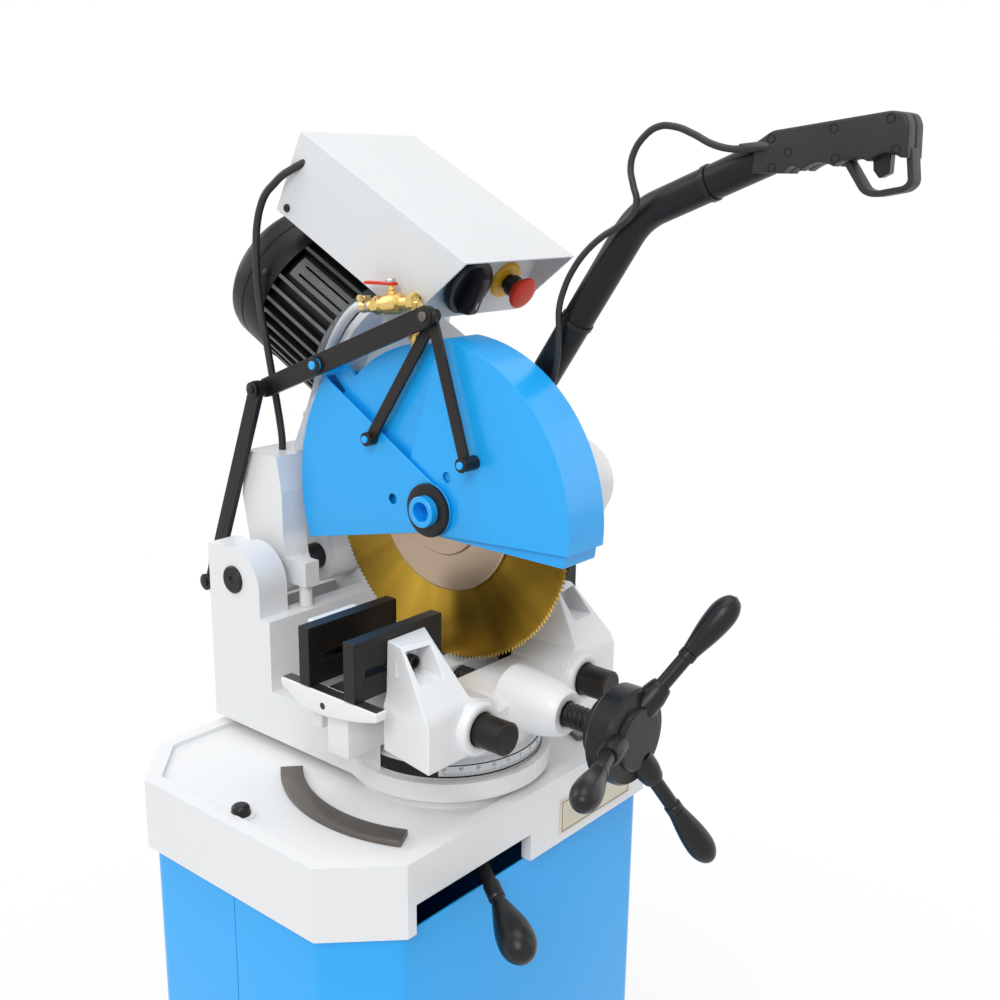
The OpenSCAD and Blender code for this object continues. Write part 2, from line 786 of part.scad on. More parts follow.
module fan_cowl() color("Black") at_motor() difference() {
    union() {
        rod_y(cowl_r, mot_u2, mot_end - cowl_round);
        cone_y(cowl_r, cowl_r - cowl_round, mot_end - cowl_round, mot_end);
    }
    rod_y(cowl_r - cowl_wall, mot_u2 - over, mot_end - cowl_end);
    for (k = [0:vent_n - 1]) rotate([0, 360 * k / vent_n, 0])
        block([vent_r1, mot_end - cowl_end - over, -vent_w / 2], [vent_r2, mot_end + over, vent_w / 2]);
}
module box_shape(inset) polygon([[box_u2 - inset, box_w1 + inset], [box_u2 - inset, box_w2 - inset],
    [box_u2 - box_len + inset * slant_share, box_w2 - inset],
    [box_u2 - box_len + box_slant + inset * slant_share, box_w1 + inset]]);
module control_box() color("WhiteSmoke") at_head() difference() {
    union() {
        slab(box_x1, box_x2) box_shape(0);
        translate([inlet_x, 0, inlet_w]) rod_y(2 * inlet_r, box_u2, box_u2 + inlet_l);
    }
    slab(box_x1 + sheet, box_x2 - sheet) box_shape(sheet);
    translate([inlet_x, 0, inlet_w]) rod_y(inlet_r, box_u2 - sheet - over, box_u2 + inlet_l + over);
}
module control_panel() color("LightGray") at_head() difference() {
    block([box_x1 + sheet, panel_face, box_w1 + sheet], [box_x2 - sheet, panel_u, box_w2 - sheet]);
    translate([stop_btn_x, 0, knob_w]) rod_y(btn_shaft_r, panel_face - over, panel_u + over);
    translate([switch_x, 0, knob_w]) rod_y(switch_shaft_r, panel_face - over, panel_u + over);
}
module main_switch() color("Black") at_head() translate([switch_x, 0, knob_w]) {
    rod_y(dial_r, panel_face - gap - dial_t, panel_face - gap);
    block([-knob_half, panel_face - gap - dial_t - knob_t, -knob_long],
        [knob_half, panel_face - gap - dial_t, knob_long]);
    rod_y(switch_shaft_r - btn_play, panel_face - gap, panel_u + switch_shaft_l);
}
module stop_collar() color("Gold") at_head() translate([stop_btn_x, 0, knob_w]) difference() {
    rod_y(collar_ring_r, panel_face - collar_ring_t, panel_face);
    rod_y(btn_shaft_r + gap, panel_face - collar_ring_t - over, panel_face + over);
}
module stop_button() color("Red") at_head() translate([stop_btn_x, 0, knob_w]) {
    rod_y(btn_shaft_r - btn_play, panel_face - btn_neck, panel_u + btn_shaft_l);
    cone_y(btn_r2, btn_r1, panel_face - btn_neck - btn_h, panel_face - btn_neck);
    cone_y(btn_r1, btn_r2, panel_face - btn_neck - 2 * btn_h, panel_face - btn_neck - btn_h);
}

// Guards
module fixed_guard() color("DodgerBlue") difference() {
    union() {
        at_arbor() intersection() {
            difference() {
                rod(fix_r, fix_x1, fix_x2);
                rod(fix_r - sheet, fix_x1 + sheet, fix_x2 - sheet);
            }
            block([fix_x1, -fix_r, -fix_low], [fix_x2, fix_r, fix_r]);
        }
        at_arbor() rod(spacer_r, fix_x2, gear_x1);
        bar(arbor + tab_from, lev_p, 2 * tab_r, fix_x1, fix_x1 + tab_t);
        at_yz(lev_p) rod(pivot_r, lever_x - pin_head, fix_x1);
        at_yz(lev_p) rod(tab_r, lever_x + lever_t + gap, fix_x1);
    }
    at_arbor() rod(tube_r, fix_x1 - over, fix_x1 + sheet + over);
    at_arbor() rod(spindle_r + spindle_play, fix_x2 - sheet - over, gear_x1 + over);
}
module guard_hub() color("DodgerBlue") at_arbor() difference() {
    rod(tube_r, tube_x1, tube_x2);
    rod(tube_in, tube_x1 - over, tube_x2 - tube_floor);
}
module guard_washer() color("Black") at_arbor() difference() {
    rod(hub_r, washer_x, washer_x + washer_t);
    rod(tube_r, washer_x - over, washer_x + washer_t + over);
}
module flap(r, x, shape, hole) difference() {
    union() {
        intersection() {
            difference() {
                rod(r, x, flap_x2);
                rod(r - sheet, x + sheet, flap_x2 + over);
            }
            slab(x, flap_x2) polygon(r * shape);
        }
        rod(hub_r, x, x + sheet);
    }
    rod(tube_r + fit, x - over, x + sheet + over);
    translate([0, hole[0], hole[1]]) rod(flap_hole_r, x - over, x + sheet + over);
}
module rear_guard() color("DodgerBlue") at_arbor() flap(rear_r, rear_x, rear_shares, rear_hole);
module front_guard() color("DodgerBlue") at_arbor() flap(front_r, front_x, front_shares, front_hole);
module guard_lever() color("Black") difference() {
    union() {
        bar(lev_a, lev_b, lever_w, lever_x, lever_x + lever_t);
        at_yz(lev_a) rod(link_pin_r, lift_x - pin_head, lever_x + pin_sink);
        at_yz(lev_b) rod(link_pin_r, lever_x + pin_sink, rear_link_x + link_t + gap);
    }
    at_yz(lev_p) rod(pivot_r + fit, lever_x - over, lever_x + lever_t + over);
}
module lift_link() color("Black") difference() {
    union() {
        bar(lev_a, lift_c, lift_w, lift_x, lift_x + lever_t);
        at_yz(lift_c) rod(lift_cap_r, lift_x - lift_cap_h, lug_x1 - gap);
        at_yz(lev_a) rod(lift_hub_r, lift_x + lever_t, lever_x - gap);
    }
    at_yz(lev_a) rod(link_pin_r + fit, lift_x - over, lever_x);
}
module flap_link(p, x, flap_x) difference() {
    union() {
        bar(lev_b, p, link_w, x, x + link_t);
        at_yz(p) rod(link_cap_r, x - link_cap_h, flap_x - gap);
    }
    at_yz(lev_b) rod(link_pin_r + fit, x - over, x + link_t + over);
}
module rear_guard_link() color("Black") flap_link(pin_l, rear_link_x, rear_x);
module front_guard_link() color("Black") flap_link(pin_f, front_link_x, front_x);

// Handle
handle_a = from_head(foot_u, gear_w2);
handle_d1 = unit(handle_b - handle_a);
handle_d2 = unit(handle_c - handle_b);
handle_turn = acos(handle_d1 * handle_d2);
handle_cut = bend_r * tan(handle_turn / 2);
handle_mid = handle_b - handle_d1 * handle_cut + bend_r * [-handle_d1[1], handle_d1[0]];
handle_deg = deg_of(handle_d1) - 90;
function bend_pt(a) = handle_mid + bend_r * [cos(a), sin(a)];
handle_foot = handle_a + foot_l * [-sin(head_tilt), cos(head_tilt)];
handle_path = concat([handle_a, handle_foot],
    [for (k = [0:bend_n]) bend_pt(handle_deg + handle_turn * k / bend_n)], [handle_c]);
module along_foot() translate([grip_x, 0, 0]) at_yz(handle_a) rotate([deg_of(handle_d1), 0, 0]) children();
module along_end() translate([grip_x, 0, 0]) at_yz(handle_b) rotate([deg_of(handle_d2), 0, 0]) children();
module handle_tube() color("Black") at_rim()
    cord([for (q = handle_path) [grip_x, q[0], q[1]]], 2 * handle_r, tube_sides);
module handle_collar() color("Black") difference() {
    along_foot() rod_y(foot_collar_r, -foot_collar_r, foot_collar_l);
    along_foot() rod_y(handle_r + grip_fit, -foot_collar_l, foot_collar_l + over);
    at_head() block([0, -foot_collar_l - gear_w2, -gear_w2], [2 * gear_x2, foot_collar_l + gear_w2, gear_w2]);
}
function on_grip(shares) = [for (s = shares) grip_at + [-s[0] * grip_l, s[1] * grip_h + rim]];
module grip_piece(x1, x2) color("DimGray") difference() {
    slab(x1, x2) difference() {
        polygon(on_grip(grip_shares));
        polygon(on_grip(loop_shares));
    }
    along_end() rod_y(handle_r, 0, norm(handle_c - handle_b) + gap);
    slab(grip_x - trigger_half - fit, grip_x + trigger_half + fit) polygon(on_grip(slot_shares));
}
module grip_left() {
    grip_piece(grip_x - grip_t, grip_x);
    color("DimGray") at_rim() translate([lead_pts[0][0], 0, lead_pts[0][2]])
        rod_y(lead_boss_r, lead_pts[0][1] - lead_boss_l, lead_pts[0][1]);
}
module grip_right() grip_piece(grip_x, grip_x + grip_t);
module trigger() color("Black") slab(grip_x - trigger_half, grip_x + trigger_half) polygon(on_grip(trigger_shares));

// Coolant fittings and leads
module at_valve() translate([valve_x, 0, 0]) at_yz(valve_at) rotate([valve_tilt, 0, 0]) children();
module coolant_valve() color("Goldenrod") {
    at_valve() {
        rod_y(barb_r, -barb_l + barb_in, barb_in);
        rod_y(valve_r, -valve_l, -barb_l + barb_in);
        rod_y(ball_r, -ball_u, -ball_u + ball_l);
        translate([0, -stem_u, stem_z1]) cylinder(r = stem_r, h = stem_z2 - stem_z1);
    }
    at_yz(nipple) translate([fix_x1 - nipple_r, 0, 0]) cylinder(r = nipple_r, h = nipple_h);
    at_yz(nipple + [0, nipple_r]) rod(nipple_r - fit, fix_x1 - nipple_r, fix_x1);
}
module valve_lever() color("Red") at_valve() {
    translate([0, -stem_u, stem_z2 + gap]) cylinder(r = lever_hub_r, h = lever_hub_h);
    block([-lever_half, -stem_u, stem_z2 + gap], [lever_half, lever_l - stem_u, stem_z2 + gap + lever_thick]);
}
module coolant_hose() color("LightBlue") at_rim() cord(hose_pts, hose_d);
module handle_lead() color("Black") at_rim() cord(lead_pts, lead_d);
module box_lead() color("Black") at_rim() cord(boxlead_pts, boxlead_d);
module tie(s) difference() {
    rod_y(handle_r + tie_t, s, s + tie_w);
    rod_y(handle_r + tie_fit, s - over, s + tie_w + over);
}
module cable_ties() color("Black") {
    along_foot() tie(tie_a);
    along_end() tie(tie_b);
}

// Vise
jaw_back = jaw_gap / 2 + plate_y;
// A jaw plate on the left and one on the right, in front of the bed's middle line
module jaw_plates() for (s = [0, 1]) mirror([s, 0, 0]) difference() {
    block([-bed_x, -jaw_back, bed_z + jaw_lift], [-bed_x + jaw_len, -jaw_gap / 2, bed_z + jaw_lift + jaw_h]);
    block([-bed_x + plate_slot_in - plate_slot_l / 2, -jaw_back - over, bed_z + plate_slot_z - plate_slot_h / 2],
        [-bed_x + plate_slot_in + plate_slot_l / 2, -jaw_gap / 2 + over, bed_z + plate_slot_z + plate_slot_h / 2]);
}
module front_jaw_plates() color("Black") at_rim() jaw_plates();
module rear_jaw_plates() color("Black") at_rim() mirror([0, 1, 0]) jaw_plates();
module jaw_ears(x2, y) for (s = [0, 1]) mirror([s, 0, 0]) difference() {
    block([-x2, -jaw_back - y, casting_z1], [-fear_x1, -jaw_back, fear_top]);
    block([-fear_x1 - recess_in - recess_w, -jaw_back - y - over, fear_top - recess_d - recess_w],
        [-fear_x1 - recess_in, -jaw_back - y + recess_d, fear_top - recess_d]);
}
module jaw_bores(y1, y2) {
    for (x = [-bar_x, bar_x]) translate([x, 0, bar_z]) rod_y(bar_d / 2 + fit, y1, y2);
    translate([0, 0, bar_z]) rod_y(screw_r + fit, y1, y2);
}
module front_jaw_casting() color("WhiteSmoke") at_rim() difference() {
    union() {
        jaw_ears(fear_x2, fear_y);
        block([-fear_x2, -casting_front, casting_z1], [fear_x2, -jaw_back, casting_z2]);
        for (x = [-bar_x, bar_x]) translate([x, 0, bar_z]) rod_y(boss_r, -boss_front, -jaw_back);
        translate([0, 0, bar_z]) cone_y(nose_r2, nose_r1, -nose_end, -casting_front);
    }
    jaw_bores(-nose_end - over, 0);
}
module rear_jaw_casting() color("WhiteSmoke") at_rim() difference() {
    union() {
        mirror([0, 1, 0]) jaw_ears(rear_x2, rear_y);
        block([-rear_x2, jaw_back, casting_z1], [rear_x2, jaw_back + rear_y, casting_z2]);
    }
    jaw_bores(0, bar_back);
}
jaw_screw_x = fear_x1 + recess_in + recess_w / 2;
module jaw_screws() color("Black") at_rim() for (x = [-jaw_screw_x, jaw_screw_x])
    translate([x, 0, fear_top - recess_d - recess_w / 2])
    rod_y(jaw_screw_r, -jaw_back - fear_y + recess_d - jaw_screw_h, -jaw_back - fear_y + recess_d);
module vise_screw() color("DimGray") at_rim() translate([0, 0, bar_z]) {
    rod_y(screw_r, -wheel_y, -wall_y - core_play);
    rod_y(core_r, -wall_y - core_play, wall_y + core_play);
    rod_y(screw_r, wall_y + core_play, screw_back);
}
module at_wheel() at_rim() translate([0, -wheel_y, bar_z]) children();
module at_spoke() for (a = spoke_deg) at_wheel() rotate([0, -a, 0]) translate([0, -spoke_y, 0])
    rotate([0, 0, -spoke_tilt]) children();
module handwheel() color("Black") {
    at_wheel() rod_y(wheel_hub_r, -wheel_hub_t, -wheel_neck_t);
    at_wheel() rod_y(wheel_neck_r, -wheel_neck_t, 0);
    at_wheel() rod_y(wheel_neck_r, -wheel_hub_t - wheel_cap_t, -wheel_hub_t);
    at_spoke() rod(spoke_r, wheel_hub_r - spoke_in, spoke_l);
}
module handwheel_grips() color("Black") at_spoke() translate([spoke_l, 0, 0]) oval(knob_r, knob_l);

stand_front();
stand_rear();
coolant_tank();
coolant_pump();
base_casting();
base_bolts();
swivel_track();
name_plate();
vise_pedestal();
scale_band();
guide_bars();
swivel_casting();
hinge_pin();
lock_lever();
lock_knob();
head_casting();
gear_cover();
bearings();
spindle();
worm_wheel();
blade();
blade_flange();
motor_body();
motor_stator();
motor_rotor();
fan_cowl();
control_box();
control_panel();
main_switch();
stop_collar();
stop_button();
fixed_guard();
guard_hub();
guard_washer();
rear_guard();
front_guard();
guard_lever();
lift_link();
rear_guard_link();
front_guard_link();
handle_tube();
handle_collar();
grip_left();
grip_right();
trigger();
coolant_valve();
valve_lever();
coolant_hose();
handle_lead();
box_lead();
cable_ties();
front_jaw_casting();
front_jaw_plates();
rear_jaw_casting();
rear_jaw_plates();
jaw_screws();
vise_screw();
handwheel();
handwheel_grips();
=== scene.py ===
"""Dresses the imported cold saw: finishes, rolled edges and fine pieces, each on its moving body."""

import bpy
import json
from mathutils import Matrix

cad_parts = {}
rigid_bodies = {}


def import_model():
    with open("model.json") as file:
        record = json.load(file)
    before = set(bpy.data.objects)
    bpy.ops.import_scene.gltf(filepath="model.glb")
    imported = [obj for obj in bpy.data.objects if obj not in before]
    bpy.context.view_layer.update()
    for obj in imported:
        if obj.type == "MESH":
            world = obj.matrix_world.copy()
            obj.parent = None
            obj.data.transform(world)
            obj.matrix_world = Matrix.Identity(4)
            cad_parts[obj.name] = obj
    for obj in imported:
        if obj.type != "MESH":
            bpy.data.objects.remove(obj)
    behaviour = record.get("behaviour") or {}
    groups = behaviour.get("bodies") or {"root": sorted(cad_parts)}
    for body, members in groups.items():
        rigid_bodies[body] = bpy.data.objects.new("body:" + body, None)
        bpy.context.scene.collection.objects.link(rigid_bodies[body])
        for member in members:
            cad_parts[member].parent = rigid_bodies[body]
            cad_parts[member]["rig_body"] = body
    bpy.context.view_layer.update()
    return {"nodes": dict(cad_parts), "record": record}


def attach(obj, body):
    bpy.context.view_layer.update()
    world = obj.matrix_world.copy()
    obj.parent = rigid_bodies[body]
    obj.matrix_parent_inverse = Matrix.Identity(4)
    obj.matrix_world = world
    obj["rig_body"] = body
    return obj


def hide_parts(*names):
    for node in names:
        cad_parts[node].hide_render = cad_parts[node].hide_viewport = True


bl_info = {
    "name": "Cold Saw Dressing",
    "version": (1, 0, 0),
    "blender": (4, 5, 0),
    "location": "3D View > Sidebar > Cold Saw",
    "description": "Builds the finished look of a cold saw round its packed solids",
    "category": "Object",
}

import json
import math

import bmesh
import bpy
import numpy as np
from bpy.props import FloatProperty, FloatVectorProperty, IntProperty, PointerProperty
from mathutils import Matrix

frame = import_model()
NODES = frame["nodes"]
BODY_OF = {name: o["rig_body"] for name, o in NODES.items()}
SLOT_OF = {part["node"]: part["material_slot"] for part in frame["record"]["subparts"]}
MM = 0.001
TURN = 2 * math.pi

# Places in millimetres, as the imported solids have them: X right, Y rear, Z up.
X, Y, Z = np.eye(3)
RIM = 800.0
ON_RIM = np.array([0.0, 0.0, RIM])
ARBOR = np.array([0.0, 3.0, RIM + 275.0])
HINGE = np.array([0.0, 220.0, RIM + 173.0])
VISE = np.array([0.0, 0.0, RIM + 98.0])
TILT = math.radians(28)
ALONG = np.array([0.0, math.cos(TILT), math.sin(TILT)])
ACROSS = np.array([0.0, -math.sin(TILT), math.cos(TILT)])

# Sizes in millimetres that more than one piece shares. The motor's axis lies sideways and across the head.
MOTOR = (70.0, 42.0)
FIN_FOOT, FIN_TIP = 70.0, 84.0
BAR_X = 80.0
JAW_FACE = -37.5
BED_TOP, BED_END, BED_THICK = 127.0, 166.0, 14.0
SLOT, SLOT_DEEP = 45.0, 16.0
BASE_FRONT = -113.0
PANEL_W = 177.94
HANDLE_X, TUBE_RADIUS, TUBE_BEND = 62.0, 15.0, 70.0
HUB_FACE = 37.0

# Angles in degrees: faces that meet at less are shaded smooth, joined as flat, or keep their edge unrolled.
SMOOTH, FLAT, ROLL_FROM = 32, 0.6, 34
# Distances in metres within which points are merged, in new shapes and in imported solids, and the length
# of the slivers that are dropped.
MERGE, MERGE_PACKED, SLIVER = 2e-7, 2e-6, 1e-8


def on_head(x, u, w):
    """Points of the tilted head: x sideways, u along the motor, w across it."""
    x, u, w = (np.asarray(value, float)[..., None] for value in (x, u, w))
    return ARBOR + x * X + u * ALONG + w * ACROSS


def on_motor(radius, angle, u):
    """Points round the motor's axis: their distance from it, their angle and their run along it."""
    return on_head(MOTOR[0] + radius * np.cos(angle), u, MOTOR[1] + radius * np.sin(angle))


# Settings
def length(name, about, default):
    """A size in metres that a user may change."""
    return FloatProperty(name=name, description=about, default=default, min=0.0,
                         unit="LENGTH", subtype="DISTANCE")


def colour(name, about, default):
    """A colour that a user may change."""
    return FloatVectorProperty(name=name, description=about, default=default, size=3,
                               min=0, max=1, subtype="COLOR")


class SawSizes(bpy.types.PropertyGroup):
    """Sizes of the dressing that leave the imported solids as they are."""
    cast_roll: length("Casting edge", "Rounding of the cast pieces' edges", 0.0035)
    sheet_bend: length("Sheet bend", "Bend radius of the folded sheet pieces", 0.004)
    plate_edge: length("Plate edge", "Edge break of the jaw plates and links", 0.0009)
    tooth_count: IntProperty(name="Blade teeth", description="Teeth round the blade", default=200,
                             min=20, max=400)
    tooth_depth: length("Tooth depth", "Depth of the gullets between the teeth", 0.0034)
    thread_pitch: length("Screw pitch", "Pitch of the vise screw's thread", 0.006)
    thread_depth: length("Thread depth", "Depth of the vise screw's thread", 0.002)


class SawColours(bpy.types.PropertyGroup):
    """Colours of the main finishes, in linear light."""
    blue: colour("Blue paint", "Stand and blade guards", (0.008, 0.400, 0.920))
    white: colour("Cast paint", "Cast pieces", (0.800, 0.806, 0.812))
    sheet: colour("Box paint", "Folded control box", (0.690, 0.702, 0.712))
    black: colour("Black plastic", "Knobs and switch", (0.012, 0.012, 0.013))
    # The blade coat's gold is also the bright tone of the blade's painted reflection streaks.
    gold: colour("Blade coat", "Coated saw blade", (0.720, 0.440, 0.055))


# Shapes: (points in mm, faces)
def grid(points, wrap=True, caps=True):
    """Points of a two-parameter grid, each joined to its next row and next column by quads.
    Wrap joins the last column to the first, and caps close the first and the last row."""
    rows, cols = points.shape[:2]
    row = np.arange(rows - 1)[:, None] * cols
    c = np.arange(cols if wrap else cols - 1)[None, :]
    c2 = (c + 1) % cols
    quads = np.stack([row + c, row + c2, row + cols + c2, row + cols + c], -1).reshape(-1, 4).tolist()
    last = (rows - 1) * cols
    ends = [list(range(cols))[::-1], list(range(last, last + cols))] if caps else []
    return points.reshape(-1, 3), quads + ends


def revolve(profile, steps=64, hollow=False):
    """Each profile point (radius, height) goes once round the third axis: (r cos a, r sin a, h).
    A hollow piece's profile stays clear of that axis and closes on itself."""
    p = np.asarray(profile, float)
    if hollow:
        p = np.concatenate([p, p[:1]])
    a = np.linspace(0, TURN, steps, endpoint=False)
    ring = np.stack([np.cos(a), np.sin(a)], -1)
    flat, height = p[:, None, :1] * ring[None], np.broadcast_to(p[:, None, 1:], (len(p), steps, 1))
    return grid(np.concatenate([flat, height], -1), caps=not hollow)


def oblong(left, right, low, high):
    """The four corners of a rectangle, once round."""
    return [[left, low], [right, low], [right, high], [left, high]]


def rolled(points, radius, n=5, closed=True):
    """An outline whose corners become curves: each leaves and meets its two sides at the distance
    radius and blends between them by squares (1-t)^2 a + 2t(1-t) p + t^2 b."""
    p = np.asarray(points, float)
    d1, d2 = np.roll(p, 1, 0) - p, np.roll(p, -1, 0) - p
    l1, l2 = np.linalg.norm(d1, axis=1), np.linalg.norm(d2, axis=1)
    cut = np.minimum(np.broadcast_to(radius, len(p)), 0.48 * np.minimum(l1, l2))[:, None]
    a, b = p + d1 / l1[:, None] * cut, p + d2 / l2[:, None] * cut
    t = np.linspace(0, 1, n)[None, :, None]
    curve = (1 - t) ** 2 * a[:, None] + 2 * t * (1 - t) * p[:, None] + t ** 2 * b[:, None]
    flat = curve.reshape(-1, p.shape[1])
    return flat if closed else np.concatenate([p[:1], flat[n:-n], p[-1:]])


def normals_of(outline):
    """Outward mitre directions of a closed outline, by the mean of its two sides' normals."""
    p = np.asarray(outline, float)
    d = np.roll(p, -1, 0) - p
    x, y = p[:, 0], p[:, 1]
    way = np.sign(np.sum(x * np.roll(y, -1) - np.roll(x, -1) * y))
    n = np.stack([d[:, 1], -d[:, 0]], -1) * way
    n /= np.maximum(np.linalg.norm(n, axis=1, keepdims=True), 1e-9)
    m = n + np.roll(n, 1, 0)
    return m / np.maximum(np.sum(m * m, axis=1, keepdims=True), 0.5) * 2


def prism(outline, low, high, roll=0.0, n=4):
    """An outline raised from low to high: near both ends it is drawn in by roll (1 - sin t) while it
    rises by roll (1 - cos t)."""
    out = np.asarray(outline, float)
    t = np.linspace(0, math.pi / 2, n) if roll else np.array([math.pi / 2])
    inset, rise = roll * (1 - np.sin(t)), roll * (1 - np.cos(t)) if roll else np.zeros(1)
    ins = np.concatenate([inset, inset[::-1]])
    z = np.concatenate([low + rise, high - rise[::-1]])
    flat = out[None] - ins[:, None, None] * normals_of(out)[None]
    return grid(np.concatenate([flat, np.broadcast_to(z[:, None, None], flat.shape[:2] + (1,))], -1))


def sweep(path, outline, up):
    """An outline (sideways, upwards) carried along a path: at each point it stands square to the path,
    with its second axis as near to up as it can be."""
    p, o = np.asarray(path, float), np.asarray(outline, float)
    t = np.gradient(p, axis=0)
    t /= np.linalg.norm(t, axis=1, keepdims=True)
    side = np.cross(t, np.broadcast_to(up, p.shape))
    side /= np.linalg.norm(side, axis=1, keepdims=True)
    top = np.cross(side, t)
    return grid(p[:, None] + o[:, :1] * side[:, None] + o[:, 1:] * top[:, None])


def circle(radius, n=24):
    """Points at equal angles round a circle."""
    a = np.linspace(0, TURN, n, endpoint=False)
    return radius * np.stack([np.cos(a), np.sin(a)], -1)


def put(shape, origin, third, first=None):
    """A shape set at origin with its third axis along third and its first axis near first."""
    c = np.asarray(third, float) / np.linalg.norm(third)
    guess = np.asarray(first if first is not None else (Z if abs(c[2]) < 0.9 else X), float)
    a = guess - guess.dot(c) * c
    a /= np.linalg.norm(a)
    return shape[0] @ np.stack([a, np.cross(c, a), c]) + np.asarray(origin, float), shape[1]


def pocketed(rings, wall, rim_shares, floor_y):
    """A loft through four-cornered rings from its foot to its top, with a pocket in one wall of its last
    band: each corner of the pocket's rim lies at two shares of that wall, (1-t)((1-s)a + s b) +
    t((1-s)d + s c), and the floor is the rim moved along Y to floor_y."""
    rings = np.asarray(rings, float)
    points, faces = grid(rings)
    gone = 4 * (len(rings) - 2) + wall
    corner = rings[[-2, -2, -1, -1], [wall, wall + 1, wall + 1, wall]]
    s, t = np.asarray(rim_shares, float).T[:, :, None]
    rim = (1 - t) * ((1 - s) * corner[0] + s * corner[1]) + t * ((1 - s) * corner[3] + s * corner[2])
    floor = rim.copy()
    floor[:, 1] = floor_y
    inner, walls = grid(np.stack([corner, rim, floor]))
    walls = [[i + len(points) for i in face] for face in walls[:-2] + walls[-1:]]
    return np.concatenate([points, inner]), faces[:gone] + faces[gone + 1:] + walls


def bolt_head(radius, height, sides, edge):
    """A many-sided head with a turned edge: its outline is drawn in towards both ends."""
    return prism(circle(radius, sides), 0, height, edge, 3)


def round_over(radius, height, edge, n=4):
    """Profile of a short round piece with a rolled upper edge, from its foot to its middle."""
    t = np.linspace(0, math.pi / 2, n)
    top = np.stack([radius - edge + edge * np.cos(t), height - edge + edge * np.sin(t)], -1)
    return np.concatenate([[[0, 0], [radius, 0]], top, [[0, height]]])


# Pieces
def place_mesh(name, mesh, finish_name, body, replaces, smooth):
    """Puts a finished mesh in the scene at the origin, with its finish, on its body."""
    mesh.materials.clear()
    mesh.materials.append(finish(finish_name))
    mesh.shade_smooth()
    mesh.set_sharp_from_angle(angle=math.radians(smooth))
    made = bpy.data.objects.new(name, mesh)
    bpy.context.scene.collection.objects.link(made)
    if replaces:
        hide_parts(*replaces)
    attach(made, body)
    return made


def piece(name, shapes, finish_name, body, replaces=(), smooth=SMOOTH, closed=True):
    """One object of one or more shapes: millimetres become metres, seams and poles are merged and
    the faces of closed shapes point outwards."""
    starts = np.cumsum([0] + [len(points) for points, faces in shapes])
    points = np.concatenate([points for points, faces in shapes]) * MM
    faces = [[i + start for i in face] for (_, part), start in zip(shapes, starts) for face in part]
    mesh = bpy.data.meshes.new(name)
    mesh.from_pydata(points, [], faces)
    work = bmesh.new()
    work.from_mesh(mesh)
    bmesh.ops.remove_doubles(work, verts=work.verts, dist=MERGE)
    bmesh.ops.dissolve_degenerate(work, edges=work.edges, dist=SLIVER)
    if closed:
        bmesh.ops.recalc_face_normals(work, faces=work.faces)
    work.to_mesh(mesh)
    work.free()
    return place_mesh(name, mesh, finish_name, body, replaces, smooth)


def softened(node, roll, segments, smooth=SMOOTH):
    """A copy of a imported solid: loose triangles merged, flat faces joined, and its edges rolled over."""
    work = bmesh.new()
    work.from_mesh(NODES[node].data)
    bmesh.ops.remove_doubles(work, verts=work.verts, dist=MERGE_PACKED)
    bmesh.ops.dissolve_limit(work, angle_limit=math.radians(FLAT), verts=work.verts, edges=work.edges)
    mesh = bpy.data.meshes.new(node + "_dressed")
    work.to_mesh(mesh)
    work.free()
    made = place_mesh(mesh.name, mesh, SLOT_OF[node], BODY_OF[node], (node,), smooth)
    roll_edges(made, roll, segments)


def roll_edges(made, roll, segments):
    """Every edge sharper than the limit rolled over by a Bevel."""
    edge = made.modifiers.new("edge", "BEVEL")
    edge.width = roll
    edge.segments = segments
    edge.limit_method = "ANGLE"
    edge.angle_limit = math.radians(ROLL_FROM)
    edge.miter_outer = "MITER_ARC"
    edge.harden_normals = True


